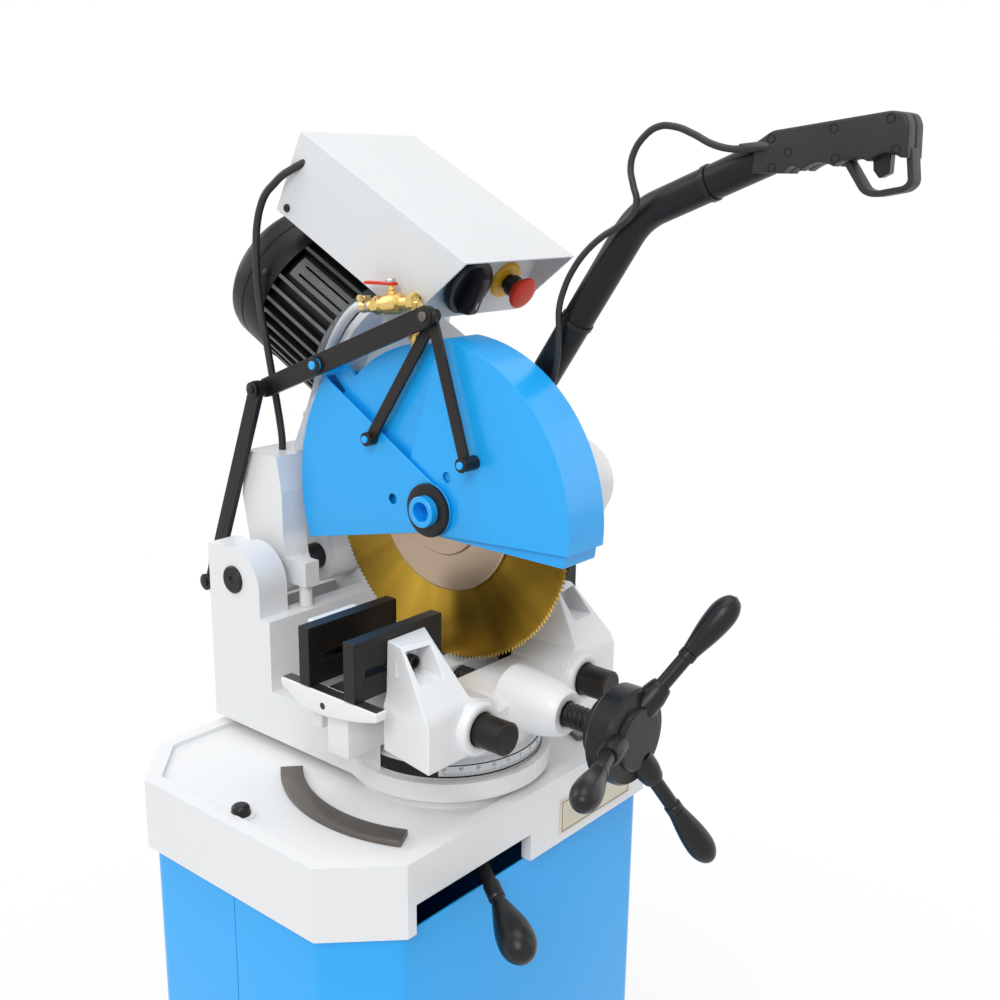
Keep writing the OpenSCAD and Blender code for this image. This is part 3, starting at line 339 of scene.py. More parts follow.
# Finishes
class Sock:
    """A shader socket that Python's operators work on: each adds its own Math node."""

    def __init__(self, tree, socket):
        self.tree, self.socket = tree, socket

    def node(self, kind, settings=None, inputs=None, out=0):
        """Any node: its type, its settings, then the values or links of its sockets."""
        made = self.tree.nodes.new(kind)
        for name, value in (settings or {}).items():
            if name == "stops":
                ramp = made.color_ramp.elements
                ramp.remove(ramp[1])
                for i, (at, tone) in enumerate(value):
                    stop = ramp[0] if i == 0 else ramp.new(at)
                    stop.position, stop.color = at, tone
            else:
                setattr(made, name, value)
        for key, value in (inputs or {}).items():
            if isinstance(value, Sock):
                self.tree.links.new(value.socket, made.inputs[key])
            else:
                made.inputs[key].default_value = value
        return Sock(self.tree, made.outputs[out])

    def math(self, operation, a, b):
        """A Math node on two values."""
        return self.node("ShaderNodeMath", {"operation": operation}, {0: a, 1: b})

    def __add__(self, other):
        return self.math("ADD", self, other)

    __radd__ = __add__

    def __sub__(self, other):
        return self.math("SUBTRACT", self, other)

    def __rsub__(self, other):
        return self.math("SUBTRACT", other, self)

    def __mul__(self, other):
        return self.math("MULTIPLY", self, other)

    __rmul__ = __mul__

    def __pow__(self, other):
        return self.math("POWER", self, other)

    def __gt__(self, other):
        return self.math("GREATER_THAN", self, other)

    def mix(self, a, b):
        """Colour a where this value is 0 and colour b where it is 1."""
        return self.node("ShaderNodeMix", {"data_type": "RGBA"}, {0: self, 6: a, 7: b}, 2)

    def ramp(self, low, high):
        """0 up to the value low, 1 from the value high, and a straight rise between them."""
        stops = [(low, (0, 0, 0, 1)), (high, (1, 1, 1, 1))]
        return self.node("ShaderNodeValToRGB", {"stops": stops}, {0: self})

    def noise(self, scale, detail=2.0, rough=0.5):
        """Noise on these coordinates."""
        return self.node("ShaderNodeTexNoise", {},
                         {"Vector": self, "Scale": scale, "Detail": detail, "Roughness": rough})

    def lines(self, scale):
        """Noise that runs one way, along this value."""
        return self.node("ShaderNodeTexNoise", {"noise_dimensions": "1D"},
                         {"W": self * scale, "Scale": 1.0, "Detail": 3.0})

    def stretched(self, scale, place=(0, 0, 0), turn=(0, 0, 0)):
        """These coordinates centred, turned and scaled by a Mapping node."""
        return self.node("ShaderNodeMapping", {},
                         {"Vector": self, "Location": place, "Rotation": turn, "Scale": scale})

    def reach(self, other):
        """The distance from an axis that this value and the other are measured square to."""
        return (self * self + other * other) ** 0.5

    def part(self, axis):
        """One of this vector's three values."""
        return self.node("ShaderNodeSeparateXYZ", {}, {0: self}, axis)

    def bump(self, strength, depth):
        """A surface direction from this value as a height."""
        return self.node("ShaderNodeBump", {}, {"Strength": strength, "Distance": depth, "Height": self})


def begin(name, **fixed):
    """A new material: constants go on the shader's own sockets, and Object coordinates come back."""
    made = bpy.data.materials.new(name)
    made.use_nodes = True
    tree = made.node_tree
    shader = tree.nodes["Principled BSDF"]
    for key, value in fixed.items():
        shader.inputs[key.replace("_", " ")].default_value = value
    coords = Sock(tree, tree.nodes.new("ShaderNodeTexCoord").outputs["Object"])
    return made, shader, coords


def feed(shader, at, **links):
    """Links values to the shader's sockets, named with a low line for each space."""
    for key, value in links.items():
        at.tree.links.new(value.socket, shader.inputs[key.replace("_", " ")])


def tone(rgb, share):
    """A colour made lighter or darker by a share."""
    return tuple(min(1.0, c * share) for c in rgb) + (1.0,)


def paint(name, rgb, rough, peel=520.0, depth=0.00012, coat=0.25, dirt=0.05):
    """Sprayed paint: orange peel in the bump, slow changes of tone, and faint handling marks."""
    made, shader, at = begin(name, Coat_Weight=coat, Coat_Roughness=0.12)
    broad, fine = at.noise(5.0, 3.0), at.noise(peel, 2.0)
    marks = at.noise(38.0, 6.0, 0.7)
    shade = broad.mix(tone(rgb, 0.96), tone(rgb, 1.03))
    feed(shader, at, Base_Color=(marks.ramp(0.55, 0.8) * dirt).mix(shade, tone(rgb, 0.55)),
         Roughness=rough + 0.10 * broad + 0.14 * marks - 0.12, Normal=fine.bump(0.35, depth))
    return made


def machined(name, rgb, rough, grain=(30.0, 900.0, 900.0), metal=1.0, depth=0.00005, wear=0.25):
    """Steel with a drawn grain: noise stretched along one axis moves tone, gloss and bump."""
    made, shader, at = begin(name, Metallic=metal)
    lines, cloud = at.stretched(grain).noise(1.0, 4.0, 0.65), at.noise(24.0, 4.0)
    feed(shader, at, Base_Color=lines.mix(tone(rgb, 1 - wear), tone(rgb, 1 + wear)),
         Roughness=rough + 0.22 * (cloud - 0.5) + 0.12 * (lines - 0.5), Normal=lines.bump(0.3, depth))
    return made


def moulded(name, rgb, rough, grain=1400.0, depth=0.00004, **fixed):
    """Moulded plastic: a fine leathery grain and slow changes of gloss."""
    made, shader, at = begin(name, **fixed)
    fine, broad = at.noise(grain, 2.0), at.noise(18.0, 3.0)
    feed(shader, at, Base_Color=broad.mix(tone(rgb, 0.8), tone(rgb, 1.25)),
         Roughness=rough + 0.16 * (broad - 0.5), Normal=fine.bump(0.3, depth))
    return made


def turned(name, rgb, rough, rings, wear=0.16):
    """Turned metal on the arbor: the distance from its axis drives a one-way noise of fine rings."""
    made, shader, at = begin(name, Metallic=1.0)
    here = at.stretched((1, 1, 1), tuple(-ARBOR * MM))
    ring = here.part(1).reach(here.part(2)).lines(rings)
    cloud = at.noise(16.0, 4.0)
    feed(shader, at, Base_Color=ring.mix(tone(rgb, 1 - wear), tone(rgb, 1 + wear)),
         Roughness=rough + 0.16 * (ring - 0.5) + 0.14 * (cloud - 0.5), Normal=ring.bump(0.35, 0.00006))
    return made


def coated(name, light, dark, rough):
    """Gold coat on a ground disc: fine rings from the distance to the axis, and broad painted reflection
    streaks, from the dark gold up to the light gold, that run outwards because they follow only the
    direction from the axis."""
    made, shader, at = begin(name, Metallic=1.0)
    here = at.stretched((0, 1, 1), (0, -ARBOR[1] * MM, -ARBOR[2] * MM))
    ring = here.part(1).reach(here.part(2)).lines(1900.0)
    way = at.node("ShaderNodeVectorMath", {"operation": "NORMALIZE"}, {0: here})
    # Painted reflection: broad streaks of light and dark gold stand for light mirrored in the ground disc.
    painted_reflection = way.noise(1.7, 3.0, 0.55)
    shade = painted_reflection.ramp(0.30, 0.68).mix(tone(dark, 1.0), tone(light, 1.0))
    feed(shader, at, Base_Color=(0.30 * ring).mix(shade, tone(dark, 0.7)),
         Roughness=rough + 0.10 * (ring - 0.5) + 0.10 * (painted_reflection - 0.5), Normal=ring.bump(0.25, 0.00005))
    return made


def finned(name, rgb, glint_grey, edge):
    """Black motor paint with a painted highlight, a grey metallic glint, on the outer edges of the fins,
    which lie further from the motor's axis than the edge."""
    made, shader, at = begin(name, Specular_IOR_Level=0.3)
    middle = on_head(MOTOR[0], 0, MOTOR[1]) * MM
    here = at.stretched((1, 1, 1), tuple(-middle)).stretched((1, 1, 1), (0, 0, 0), (-TILT, 0, 0))
    # Painted highlight: past the edge's distance the fins turn grey and partly metallic, standing for light
    # caught on their outer edges.
    painted_glint = (here.part(0).reach(here.part(2)) > edge) * (0.35 + 0.9 * at.noise(60.0, 4.0))
    fine = at.noise(420.0, 2.0)
    feed(shader, at, Base_Color=painted_glint.mix(tone(rgb, 1.0), tone(glint_grey, 1.0)), Metallic=0.6 * painted_glint,
         Roughness=0.36 + 0.14 * at.noise(22.0, 3.0), Normal=fine.bump(0.35, 0.00012))
    return made


MADE = {}


def finish(name):
    """The finish of that name, built the first time it is asked for."""
    if name not in MADE:
        tones = bpy.context.scene.saw_colours
        MADE[name] = RECIPES[name](name, tones)
    return MADE[name]


RECIPES = {
    "blue_paint": lambda n, t: paint(n, t.blue, 0.34, 700.0, 0.00007, 0.35, 0.03),
    "white_paint": lambda n, t: paint(n, t.white, 0.40, 330.0, 0.00022, 0.25, 0.07),
    "white_sheet": lambda n, t: paint(n, t.sheet, 0.42, 900.0, 0.00008, 0.15, 0.03),
    "black_steel": lambda n, t: machined(n, (0.022, 0.019, 0.017), 0.38, metal=0.55),
    "track_steel": lambda n, t: machined(n, (0.17, 0.155, 0.14), 0.45, (60.0, 60.0, 900.0)),
    "black_plastic": lambda n, t: moulded(n, t.black, 0.30, Specular_IOR_Level=0.28),
    "grip_plastic": lambda n, t: moulded(n, (0.026, 0.026, 0.028), 0.46, 900.0, 0.00009,
                                         Specular_IOR_Level=0.3),
    "motor_paint": lambda n, t: moulded(n, (0.007, 0.007, 0.007), 0.36, 420.0, 0.00012,
                                        Specular_IOR_Level=0.25),
    "bright_steel": lambda n, t: machined(n, (0.50, 0.50, 0.48), 0.34),
    "flange_steel": lambda n, t: turned(n, (0.50, 0.38, 0.28), 0.36, 1500.0),
    # Painted reflection: t.gold is the bright tone of the blade's streaks, and the brown tone is their
    # painted shade.
    "coated_blade": lambda n, t: coated(n, t.gold, (0.24, 0.140, 0.016), 0.30),
    # Painted highlight: the second colour is the grey glint painted on the fins' outer edges.
    "fin_paint": lambda n, t: finned(n, (0.007, 0.007, 0.008), (0.16, 0.165, 0.17),
                                     (FIN_TIP - 0.6) * MM),
    "pad_alloy": lambda n, t: machined(n, (0.13, 0.135, 0.14), 0.34, (300.0, 40.0, 300.0)),
    "hose_clip": lambda n, t: machined(n, (0.66, 0.50, 0.24), 0.30, (200.0, 200.0, 200.0), wear=0.2),
    "bronze": lambda n, t: machined(n, (0.76, 0.54, 0.19), 0.34, (300.0, 300.0, 300.0), wear=0.12),
    "winding": lambda n, t: machined(n, (0.55, 0.24, 0.10), 0.40, (900.0, 60.0, 60.0)),
    "tank_sheet": lambda n, t: paint(n, (0.22, 0.24, 0.26), 0.45),
    "yellow_plastic": lambda n, t: moulded(n, (0.82, 0.43, 0.010), 0.40),
    "red_plastic": lambda n, t: moulded(n, (0.60, 0.026, 0.005), 0.34, Specular_IOR_Level=0.3),
    "clear_hose": lambda n, t: moulded(n, (0.88, 0.94, 0.98), 0.16, 300.0,
                                       Transmission_Weight=0.5, IOR=1.4),
    "black_rubber": lambda n, t: moulded(n, (0.014, 0.014, 0.015), 0.48, 2200.0),
    "plate_print": lambda n, t: moulded(n, (0.66, 0.60, 0.47), 0.42, 700.0),
    "ink": lambda n, t: moulded(n, (0.020, 0.020, 0.022), 0.5),
}


# Stage: the camera's place in metres, its turn, pitch and roll in degrees, and its lens in millimetres
CAMERA_PLACE = (-0.87509, -0.80031, 1.39376)
CAMERA_TURN, CAMERA_PITCH, CAMERA_ROLL = -50.03, 14.76, 0.73
CAMERA_LENS, CAMERA_SENSOR = 44.52, 36.0
# Each lamp's place and aim in metres, its size in metres and its power in watts.
LAMPS = (
    ("key", (-3.2, -1.6, 3.6), (0, 0, 1.0), 2.2, 88.0),
    ("top", (0.0, -0.3, 4.2), (0, 0, 1.0), 2.4, 44.0),
    ("fill", (2.8, -2.4, 2.0), (0, 0, 1.0), 2.6, 14.0),
    ("back", (-1.2, 3.2, 2.8), (0, 0, 1.1), 2.2, 36.0),
)
AMBIENT = (0.47, 0.48, 0.49, 1)
WHITE = (1, 1, 1, 1)


def point_at(made, place, right, up, ahead):
    """Links a lamp or a camera to the scene at its place, with its own axes along right, up and back."""
    turn = np.eye(4)
    turn[:3] = np.stack([right, up, -ahead, place], -1)
    made.matrix_world = Matrix(turn.tolist())
    bpy.context.scene.collection.objects.link(made)


def backdrop_rays(tree):
    """1 for the rays that show a backdrop: those of the camera, off a mirror and through glass."""
    path = tree.nodes.new("ShaderNodeLightPath")
    names = ("Is Camera Ray", "Is Glossy Ray", "Is Transmission Ray")
    seen, mirror, through = (Sock(tree, path.outputs[name]) for name in names)
    return seen.math("MAXIMUM", seen, mirror.math("MAXIMUM", mirror, through))


class SAW_OT_stage(bpy.types.Operator):
    """Camera at the photograph's angle, soft studio light and a pale floor"""
    bl_idname = "saw.stage"
    bl_label = "Stage"

    def execute(self, context):
        scene = context.scene
        scene.view_settings.view_transform = "Standard"
        self.camera(scene)
        self.lamps()
        self.floor(scene)
        self.world(scene)
        return {"FINISHED"}

    def camera(self, scene):
        """Looks ahead by its turn and pitch, and rolls about that line."""
        side, down, roll = np.radians((CAMERA_TURN, CAMERA_PITCH, CAMERA_ROLL)).tolist()
        level = math.cos(down)
        ahead = np.array([-math.sin(side) * level, math.cos(side) * level, -math.sin(down)])
        right = np.array([math.cos(side), math.sin(side), 0.0])
        up = np.cross(right, ahead)
        lens = bpy.data.cameras.new("camera")
        lens.lens, lens.sensor_width = CAMERA_LENS, CAMERA_SENSOR
        lens.clip_start, lens.clip_end = 0.05, 60.0
        eye = bpy.data.objects.new("camera", lens)
        across = math.cos(roll) * right + math.sin(roll) * up
        top = -math.sin(roll) * right + math.cos(roll) * up
        point_at(eye, CAMERA_PLACE, across, top, ahead)
        scene.camera = eye

    def lamps(self):
        """Square soft lamps, each turned towards its aim with a level edge."""
        for name, at, aim, size, power in LAMPS:
            lamp = bpy.data.lights.new(name, "AREA")
            lamp.size, lamp.energy = size, power
            ahead = np.array(aim, float) - np.array(at)
            ahead /= np.linalg.norm(ahead)
            right = np.cross(ahead, Z)
            right /= np.linalg.norm(right)
            point_at(bpy.data.objects.new(name, lamp), at, right, np.cross(right, ahead), ahead)

    def floor(self, scene):
        """A flat grid at floor height, whose far edge is well out of every view."""
        half, lines, level = 9000.0, 9, -0.4
        a = np.linspace(-half, half, lines)
        x, y = np.meshgrid(a, a, indexing="ij")
        points, faces = grid(np.stack([x, y, np.full((lines, lines), level)], -1), wrap=False, caps=False)
        mesh = bpy.data.meshes.new("floor")
        mesh.from_pydata(points * MM, [], [face[::-1] for face in faces])
        made, shader, at = begin("floor", Roughness=0.9, Specular_IOR_Level=0.1)
        feed(shader, at, Base_Color=at.noise(1.5).mix((0.90, 0.90, 0.90, 1), (0.93, 0.93, 0.93, 1)))
        self.whiten(made, shader, at)
        mesh.materials.append(made)
        floor = bpy.data.objects.new("floor", mesh)
        scene.collection.objects.link(floor)

    def whiten(self, made, shader, at):
        """The rays that see the floor get it as plain white, but for a share round the saw's foot that
        falls off with the distance and keeps the shadow."""
        tree = made.node_tree
        glow = at.node("ShaderNodeEmission", {}, {"Color": WHITE, "Strength": 1.0})
        full, gone, shadow = 0.35, 1.5, 0.30
        near = at.node("ShaderNodeMapRange", {"interpolation_type": "SMOOTHSTEP"},
                       {0: at.part(0).reach(at.part(1)), 1: full, 2: gone, 3: shadow, 4: 0.0})
        share = (1 - near) * backdrop_rays(tree)
        both = at.node("ShaderNodeMixShader", {}, {0: share, 1: Sock(tree, shader.outputs[0]), 2: glow})
        tree.links.new(both.socket, tree.nodes["Material Output"].inputs["Surface"])

    def world(self, scene):
        """White for the rays that see it, in mirrors and glass too, and a soft even light for the rest."""
        world = bpy.data.worlds.new("studio")
        scene.world = world
        world.use_nodes = True
        tree = world.node_tree
        back = tree.nodes["Background"]
        tree.links.new(backdrop_rays(tree).mix(AMBIENT, WHITE).socket, back.inputs["Color"])
        back.inputs["Strength"].default_value = 1.0


# Leads and hose: the points of their routes above the rim, as the part's source has them
LEAD = [(43.5, -284, 616), (43.5, -270, 616), (43.5, -252, 620), (43.5, -234, 628), (43, -216, 634),
        (42, -200, 634), (41, -187, 626), (40, -178, 613), (39, -176, 600), (38, -180, 586),
        (38, -184, 573), (38, -180, 562), (38, -166, 551), (39, -148, 541), (40, -130, 527),
        (41, -116, 511), (42, -106, 494), (41, -101, 475), (41, -101, 456), (41, -101, 437),
        (42.5, -98, 419), (44, -92, 402), (44, -85, 388), (44, -77.8, 373.6), (44, -69.3, 357.7),
        (44, -63.7, 347.1)]
BOX_LEAD = [(-3, 190, 605), (-8, 197, 601), (-13, 205, 596), (-18, 214, 590), (-21, 225, 581),
            (-23, 236, 571), (-23, 245, 558), (-23, 251, 542), (-23, 254, 525), (-23, 255, 505),
            (-23, 255, 485), (-23, 253, 465), (-23, 250, 445), (-22, 246, 425), (-21, 243, 405),
            (-20, 240, 385), (-19, 237, 365), (-18, 234, 345), (-17, 232, 328), (-16, 231, 312),
            (-16, 231, 300)]
HOSE = [(-20, 105.2, 464.2), (-19, 113, 460), (-17, 124, 452), (-15, 135, 442), (-13, 146, 430),
        (-11, 156, 416), (-10, 165, 401), (-10, 173, 385), (-10, 181, 368), (-10, 189, 350),
        (-10, 198, 332), (-10, 206, 316), (-10, 209, 308), (-10, 209, 300)]


def cord_curve(name, route, diameter, finish_name, node):
    """A round cord on one smooth open spline through the route's points."""
    points = (np.array(route, float) + ON_RIM) * MM
    line = bpy.data.curves.new(name, "CURVE")
    line.dimensions = "3D"
    line.bevel_depth, line.bevel_resolution, line.use_fill_caps = diameter / 2, 5, True
    line.resolution_u = 8
    spline = line.splines.new("BEZIER")
    spline.bezier_points.add(len(points) - 1)
    spline.bezier_points.foreach_set("co", points.ravel())
    for p in spline.bezier_points:
        p.handle_left_type = p.handle_right_type = "AUTO"
    line.materials.append(finish(finish_name))
    made = bpy.data.objects.new(name, line)
    bpy.context.scene.collection.objects.link(made)
    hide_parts(node)
    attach(made, "head")


class SAW_OT_cords(bpy.types.Operator):
    """Handle lead, box lead and coolant hose on the routes of their solids"""
    bl_idname = "saw.cords"
    bl_label = "Leads and hose"

    def execute(self, context):
        cord_curve("handle_lead_cord", LEAD, 0.006, "black_rubber", "handle_lead")
        cord_curve("box_lead_cord", BOX_LEAD, 0.008, "black_rubber", "box_lead")
        cord_curve("coolant_hose_cord", HOSE, 0.010, "clear_hose", "coolant_hose")
        return {"FINISHED"}


# Castings
class SAW_OT_castings(bpy.types.Operator):
    """Cast pieces with rolled edges under thick white paint"""
    bl_idname = "saw.castings"
    bl_label = "Castings"

    def execute(self, context):
        roll = context.scene.saw_sizes.cast_roll
        for node, share in (("base_casting", 0.8), ("swivel_casting", 1.2), ("head_casting", 1.0),
                            ("gear_cover", 0.4), ("rear_jaw_casting", 0.6)):
            softened(node, roll * share, 4, smooth=14)
        self.front_jaw(roll)
        self.pedestal()
        return {"FINISHED"}

    def front_jaw(self, roll):
        """Two ears that widen downwards, each a loft with a screw pocket, on a web with bored bosses for
        the bars and a tapered nose for the screw. A plan's points lie sideways and forwards of the jaw's
        face, each at its height above the rim."""
        foot = 72.0
        low = [(132, 2), (143, 70), (53, 70), (53, 2)]
        waist = [(126, 0), (143, 64.6), (82, 64.6), (66, 0)]
        top = [(124, 0), (128, 22), (94, 29), (74, 0)]
        pocket, pocket_floor = [(0.14, 0.40), (0.74, 0.40), (0.86, 0.92), (0.08, 0.92)], JAW_FACE - 14
        shapes = []
        for side in (-1, 1):
            rings = [[(side * x, JAW_FACE - ahead, RIM + z) for x, ahead in plan]
                     for plan, z in ((low, foot), (low, 117), (waist, 127), (top, 178))]
            shapes.append(pocketed(rings, 1, pocket, pocket_floor))
        web = prism([[-2, foot], [-70, foot], [-70, 103], [-44, 112], [-2, 112]], -60, 60)
        shapes.append(put(web, (0, JAW_FACE, RIM), X, Y))
        made = piece("front_jaw_ears", shapes, "white_paint", "front_jaw", ("front_jaw_casting",))
        roll_edges(made, roll, 4)
        boss = [(16.6, 50), (27, 50), (26.4, 73), (25.6, 77), (23.8, 79), (18, 79), (16.6, 77.6)]
        nose = [(12.4, 50), (32, 50), (31.4, 66), (30.6, 78), (28.8, 92), (25.6, 106), (22.4, 115),
                (20.6, 117.3), (14, 117.5), (12.4, 116)]
        bored = [put(revolve(profile, steps, hollow=True), (x, JAW_FACE, VISE[2]), -Y)
                 for profile, steps, x in ((boss, 64, -BAR_X), (boss, 64, BAR_X), (nose, 72, 0))]
        piece("front_jaw_bosses", bored, "white_paint", "front_jaw", smooth=50)

    def pedestal(self):
        """A stepped round foot, the slotted wall that carries the bars, and two bed ends whose lower edge
        tapers forwards, with unpainted steel along their tops."""
        foot = [(0, -5), (96, -5), (96, 41.2), (95, 42.2), (91, 42.6), (90, 43.6), (90, 63), (87, 66),
                (0, 66)]
        wall, wall_foot, wall_half = BED_END - 13, 60, 14
        shapes = [put(revolve(foot, 128), ON_RIM, Z)]
        for x1, x2, top in ((-wall, -SLOT, BED_TOP), (SLOT, wall, BED_TOP),
                            (-SLOT - 1, SLOT + 1, BED_TOP - SLOT_DEEP)):
            block = prism(oblong(x1, x2, -wall_half, wall_half), wall_foot, top, 1.5, 4)
            shapes.append(put(block, ON_RIM, Z, X))
        ends = (-BED_END, BED_END - BED_THICK)
        side = rolled([[-65, -9], [-40, -16], [0, -23], [35, -23], [65, -8], [65, 0], [-65, 0]], 2.0, 4)
        for x in ends:
            shapes.append(put(prism(side, x, x + BED_THICK, 1.6, 4), (0, 0, RIM + BED_TOP), X, Y))
        piece("vise_pedestal_cast", shapes, "white_paint", "base", ("vise_pedestal",), smooth=40)
        tops = [(x + 1.4, x + BED_THICK - 1.4, -63.6, 63.6) for x in ends]
        tops += [(x1, x2, -12.6, 12.6) for x1, x2 in ((-152, -SLOT - 1.4), (SLOT + 1.4, 152))]
        strips = [put(prism(oblong(*top), BED_TOP - 0.4, BED_TOP + 0.3), ON_RIM, Z, X) for top in tops]
        piece("bed_strips", strips, "track_steel", "base")
        # Painted shade: flat discs in the black ink finish, a hair proud of each bed end, stand for the
        # dark inside of its hole.
        hole = revolve([(0, -2), (3.2, -2), (3.4, 0.12), (0, 0.12)], 24)
        holes = [put(hole, (x, 6, RIM + 114), way) for x, way in ((-BED_END, -X), (BED_END, X))]
        piece("bed_hole_painted_shade", holes, "ink", "base")


# Stand
def octagon(inset):
    """The base's eight-sided plan with its corners cut off, smaller by inset on every side."""
    l, r, f, b = -236 + inset, 262 - inset, BASE_FRONT + inset, 258 - inset
    c = 60 - inset * (2 - math.sqrt(2))
    return np.array([[l, f + c], [l + c, f], [r - c, f], [r, f + c],
                     [r, b - c], [r - c, b], [l + c, b], [l, b - c]])


def folded(line, thick):
    """A sheet's closed outline: along an open plan line, and back along it moved inwards by thick."""
    way = np.gradient(line, axis=0)
    inward = np.stack([-way[:, 1], way[:, 0]], -1)
    inward /= np.linalg.norm(inward, axis=1, keepdims=True)
    return np.concatenate([line, (line + inward * thick)[::-1]])


class SAW_OT_stand(bpy.types.Operator):
    """Folded stand, base bolts, name plate and the swing tracks"""
    bl_idname = "saw.stand"
    bl_label = "Stand"

    def execute(self, context):
        self.shells(context.scene.saw_sizes.sheet_bend / MM * 2)
        self.bolts()
        self.tracks()
        self.plate()
        return {"FINISHED"}

    def shells(self, bend):
        """Two folded sheets that meet at a seam on each side: a thin wall raised from the floor, and a
        broad lip along its foot."""
        sheet, tall, lip_wide, lip_tall, seam = 2.0, 725, 42, 3, 70.0
        o = octagon(8)
        front = np.array([[o[0, 0], seam], o[0], o[1], o[2], o[3], [o[3, 0], seam]])
        rear = np.array([[o[4, 0], seam + 1], o[4], o[5], o[6], o[7], [o[7, 0], seam + 1]])
        for name, plan in (("stand_front", front), ("stand_rear", rear)):
            line = rolled(plan, bend, 7, closed=False)
            wall = prism(folded(line, sheet), 0, tall, 0.5, 3)
            lip = prism(folded(line, lip_wide), 0, lip_tall, 0.4, 3)
            piece(name + "_sheet", [wall, lip], "blue_paint", BODY_OF[name], (name,))

    def bolts(self):
        """Domed bolts with a collar and a shank, turned about upright axes."""
        collar, dome = revolve(round_over(9.6, 3.0, 0.6)), revolve(round_over(9.0, 7.0, 4.2, 8))
        shank = revolve([(0, 0), (4, 0), (4, 18), (0, 18)], 20)
        shapes = [put(shape, (x, 75, RIM + z), Z) for x in (-212, 238)
                  for shape, z in ((collar, -3), (dome, -0.1), (shank, -21))]
        piece("base_bolts_hex", shapes, "black_plastic", "base", ("base_bolts",))

    def tracks(self):
        """Two arcs, one the mirror of the other: out along the larger radius, back along the smaller."""
        inner, outer = 150, 173
        a = np.radians(np.linspace(138, 208, 57))
        way = np.stack([np.cos(a), np.sin(a)], -1)
        track = np.concatenate([outer * way, inner * way[::-1]])
        arcs = [put(prism(track * [side, 1], -5, 1.5, 0.8, 3), ON_RIM, Z, X) for side in (1, -1)]
        piece("swivel_track_arcs", arcs, "track_steel", "base", ("swivel_track",))

    def plate(self):
        """A thin plate with a raised frame line: four bars round its edge."""
        at = (0, BASE_FRONT, RIM)
        face = prism(rolled(oblong(47, 172, -65, -28), 1.2), 0, 1.4, 0.3)
        piece("name_plate_face", [put(face, at, -Y, X)], "plate_print", "base", ("name_plate",))
        frame_line = ((49.5, 169.5, -63.2, -62.4), (49.5, 169.5, -30.6, -29.8),
                      (49.5, 50.3, -62.4, -30.6), (168.7, 169.5, -62.4, -30.6))
        bars = [put(prism(oblong(*bar), 1.35, 1.5), at, -Y, X) for bar in frame_line]
        piece("name_plate_frame", bars, "ink", "base")


class SAW_OT_scale(bpy.types.Operator):
    """Angle scale round the vise pedestal: a pale band with fine lines and plain numbers"""
    bl_idname = "saw.scale"
    bl_label = "Angle scale"

    def execute(self, context):
        low, high, bore, r = RIM + 28, RIM + 41, 96, 97.2
        profile = [(bore, low), (r - 0.3, low), (r, low + 0.3), (r, high - 0.3), (r - 0.3, high),
                   (bore, high)]
        band = revolve(profile, 180, hollow=True)
        piece("scale_band_ring", [band], "black_steel", "base", ("scale_band",))
        self.strip(r, low + 2.2, high - 0.6)
        self.marks(r + 0.31, r, low)
        return {"FINISHED"}

    def strip(self, r, low, high):
        """A thin four-sided wall carried round the front of the band by its angle."""
        front, back, ahead, steps = -90, 53, 75, 97
        turn = np.radians(np.linspace(front - back, front + ahead, steps))[:, None]
        wall = np.array([(r - 0.2, low), (r + 0.25, low), (r + 0.25, high), (r - 0.2, high)])
        points = np.stack([wall[None, :, 0] * np.cos(turn), wall[None, :, 0] * np.sin(turn),
                           np.broadcast_to(wall[None, :, 1], (steps, 4))], -1)
        piece("scale_strip", [grid(points)], "white_sheet", "base")

    def marks(self, radius, r, low):
        """A line for each degree, taller at each fifth and tenth: four corners a little to each side of
        its angle, and the tens' figures above them."""
        deg = np.arange(-50, 73)
        tall = np.where(deg % 10 == 0, 5.6, np.where(deg % 5 == 0, 4.2, 2.8))
        half = 0.16 / r
        edge = np.radians(-90 + deg)[:, None] + np.array([-half, half, half, -half])[None]
        z = low + 2.6 + np.stack([0 * tall, 0 * tall, tall, tall], -1)
        ink = np.stack([radius * np.cos(edge), radius * np.sin(edge), z], -1)
        shapes = [(ink.reshape(-1, 3), np.arange(ink.shape[0] * 4).reshape(-1, 4).tolist())]
        for value in range(-50, 71, 10):
            shapes.append(self.number(abs(value), math.radians(-90 + value), radius, low + 8.2))
        made = piece("scale_marks", shapes, "ink", "base", closed=False)
        wall = made.modifiers.new("wall", "SOLIDIFY")
        wall.thickness, wall.offset = 0.00012, -1.0

    def number(self, value, angle, radius, low):
        """Plain figures wrapped on the band: each point's sideways place becomes an angle."""
        text = bpy.data.curves.new("figure", "FONT")
        text.body, text.size, text.align_x, text.resolution_u = str(value), 4.6, "CENTER", 3
        made = bpy.data.objects.new("figure", text)
        bpy.context.scene.collection.objects.link(made)
        flat = made.evaluated_get(bpy.context.evaluated_depsgraph_get()).to_mesh()
        points = np.zeros(len(flat.vertices) * 3, np.float32)
        flat.vertices.foreach_get("co", points)
        faces = [list(face.vertices) for face in flat.polygons]
        made.to_mesh_clear()
        bpy.data.objects.remove(made)
        x, y = points.reshape(-1, 3)[:, :2].T.astype(float)
        a = angle + x / radius
        return np.stack([radius * np.cos(a), radius * np.sin(a), low + y], -1), faces


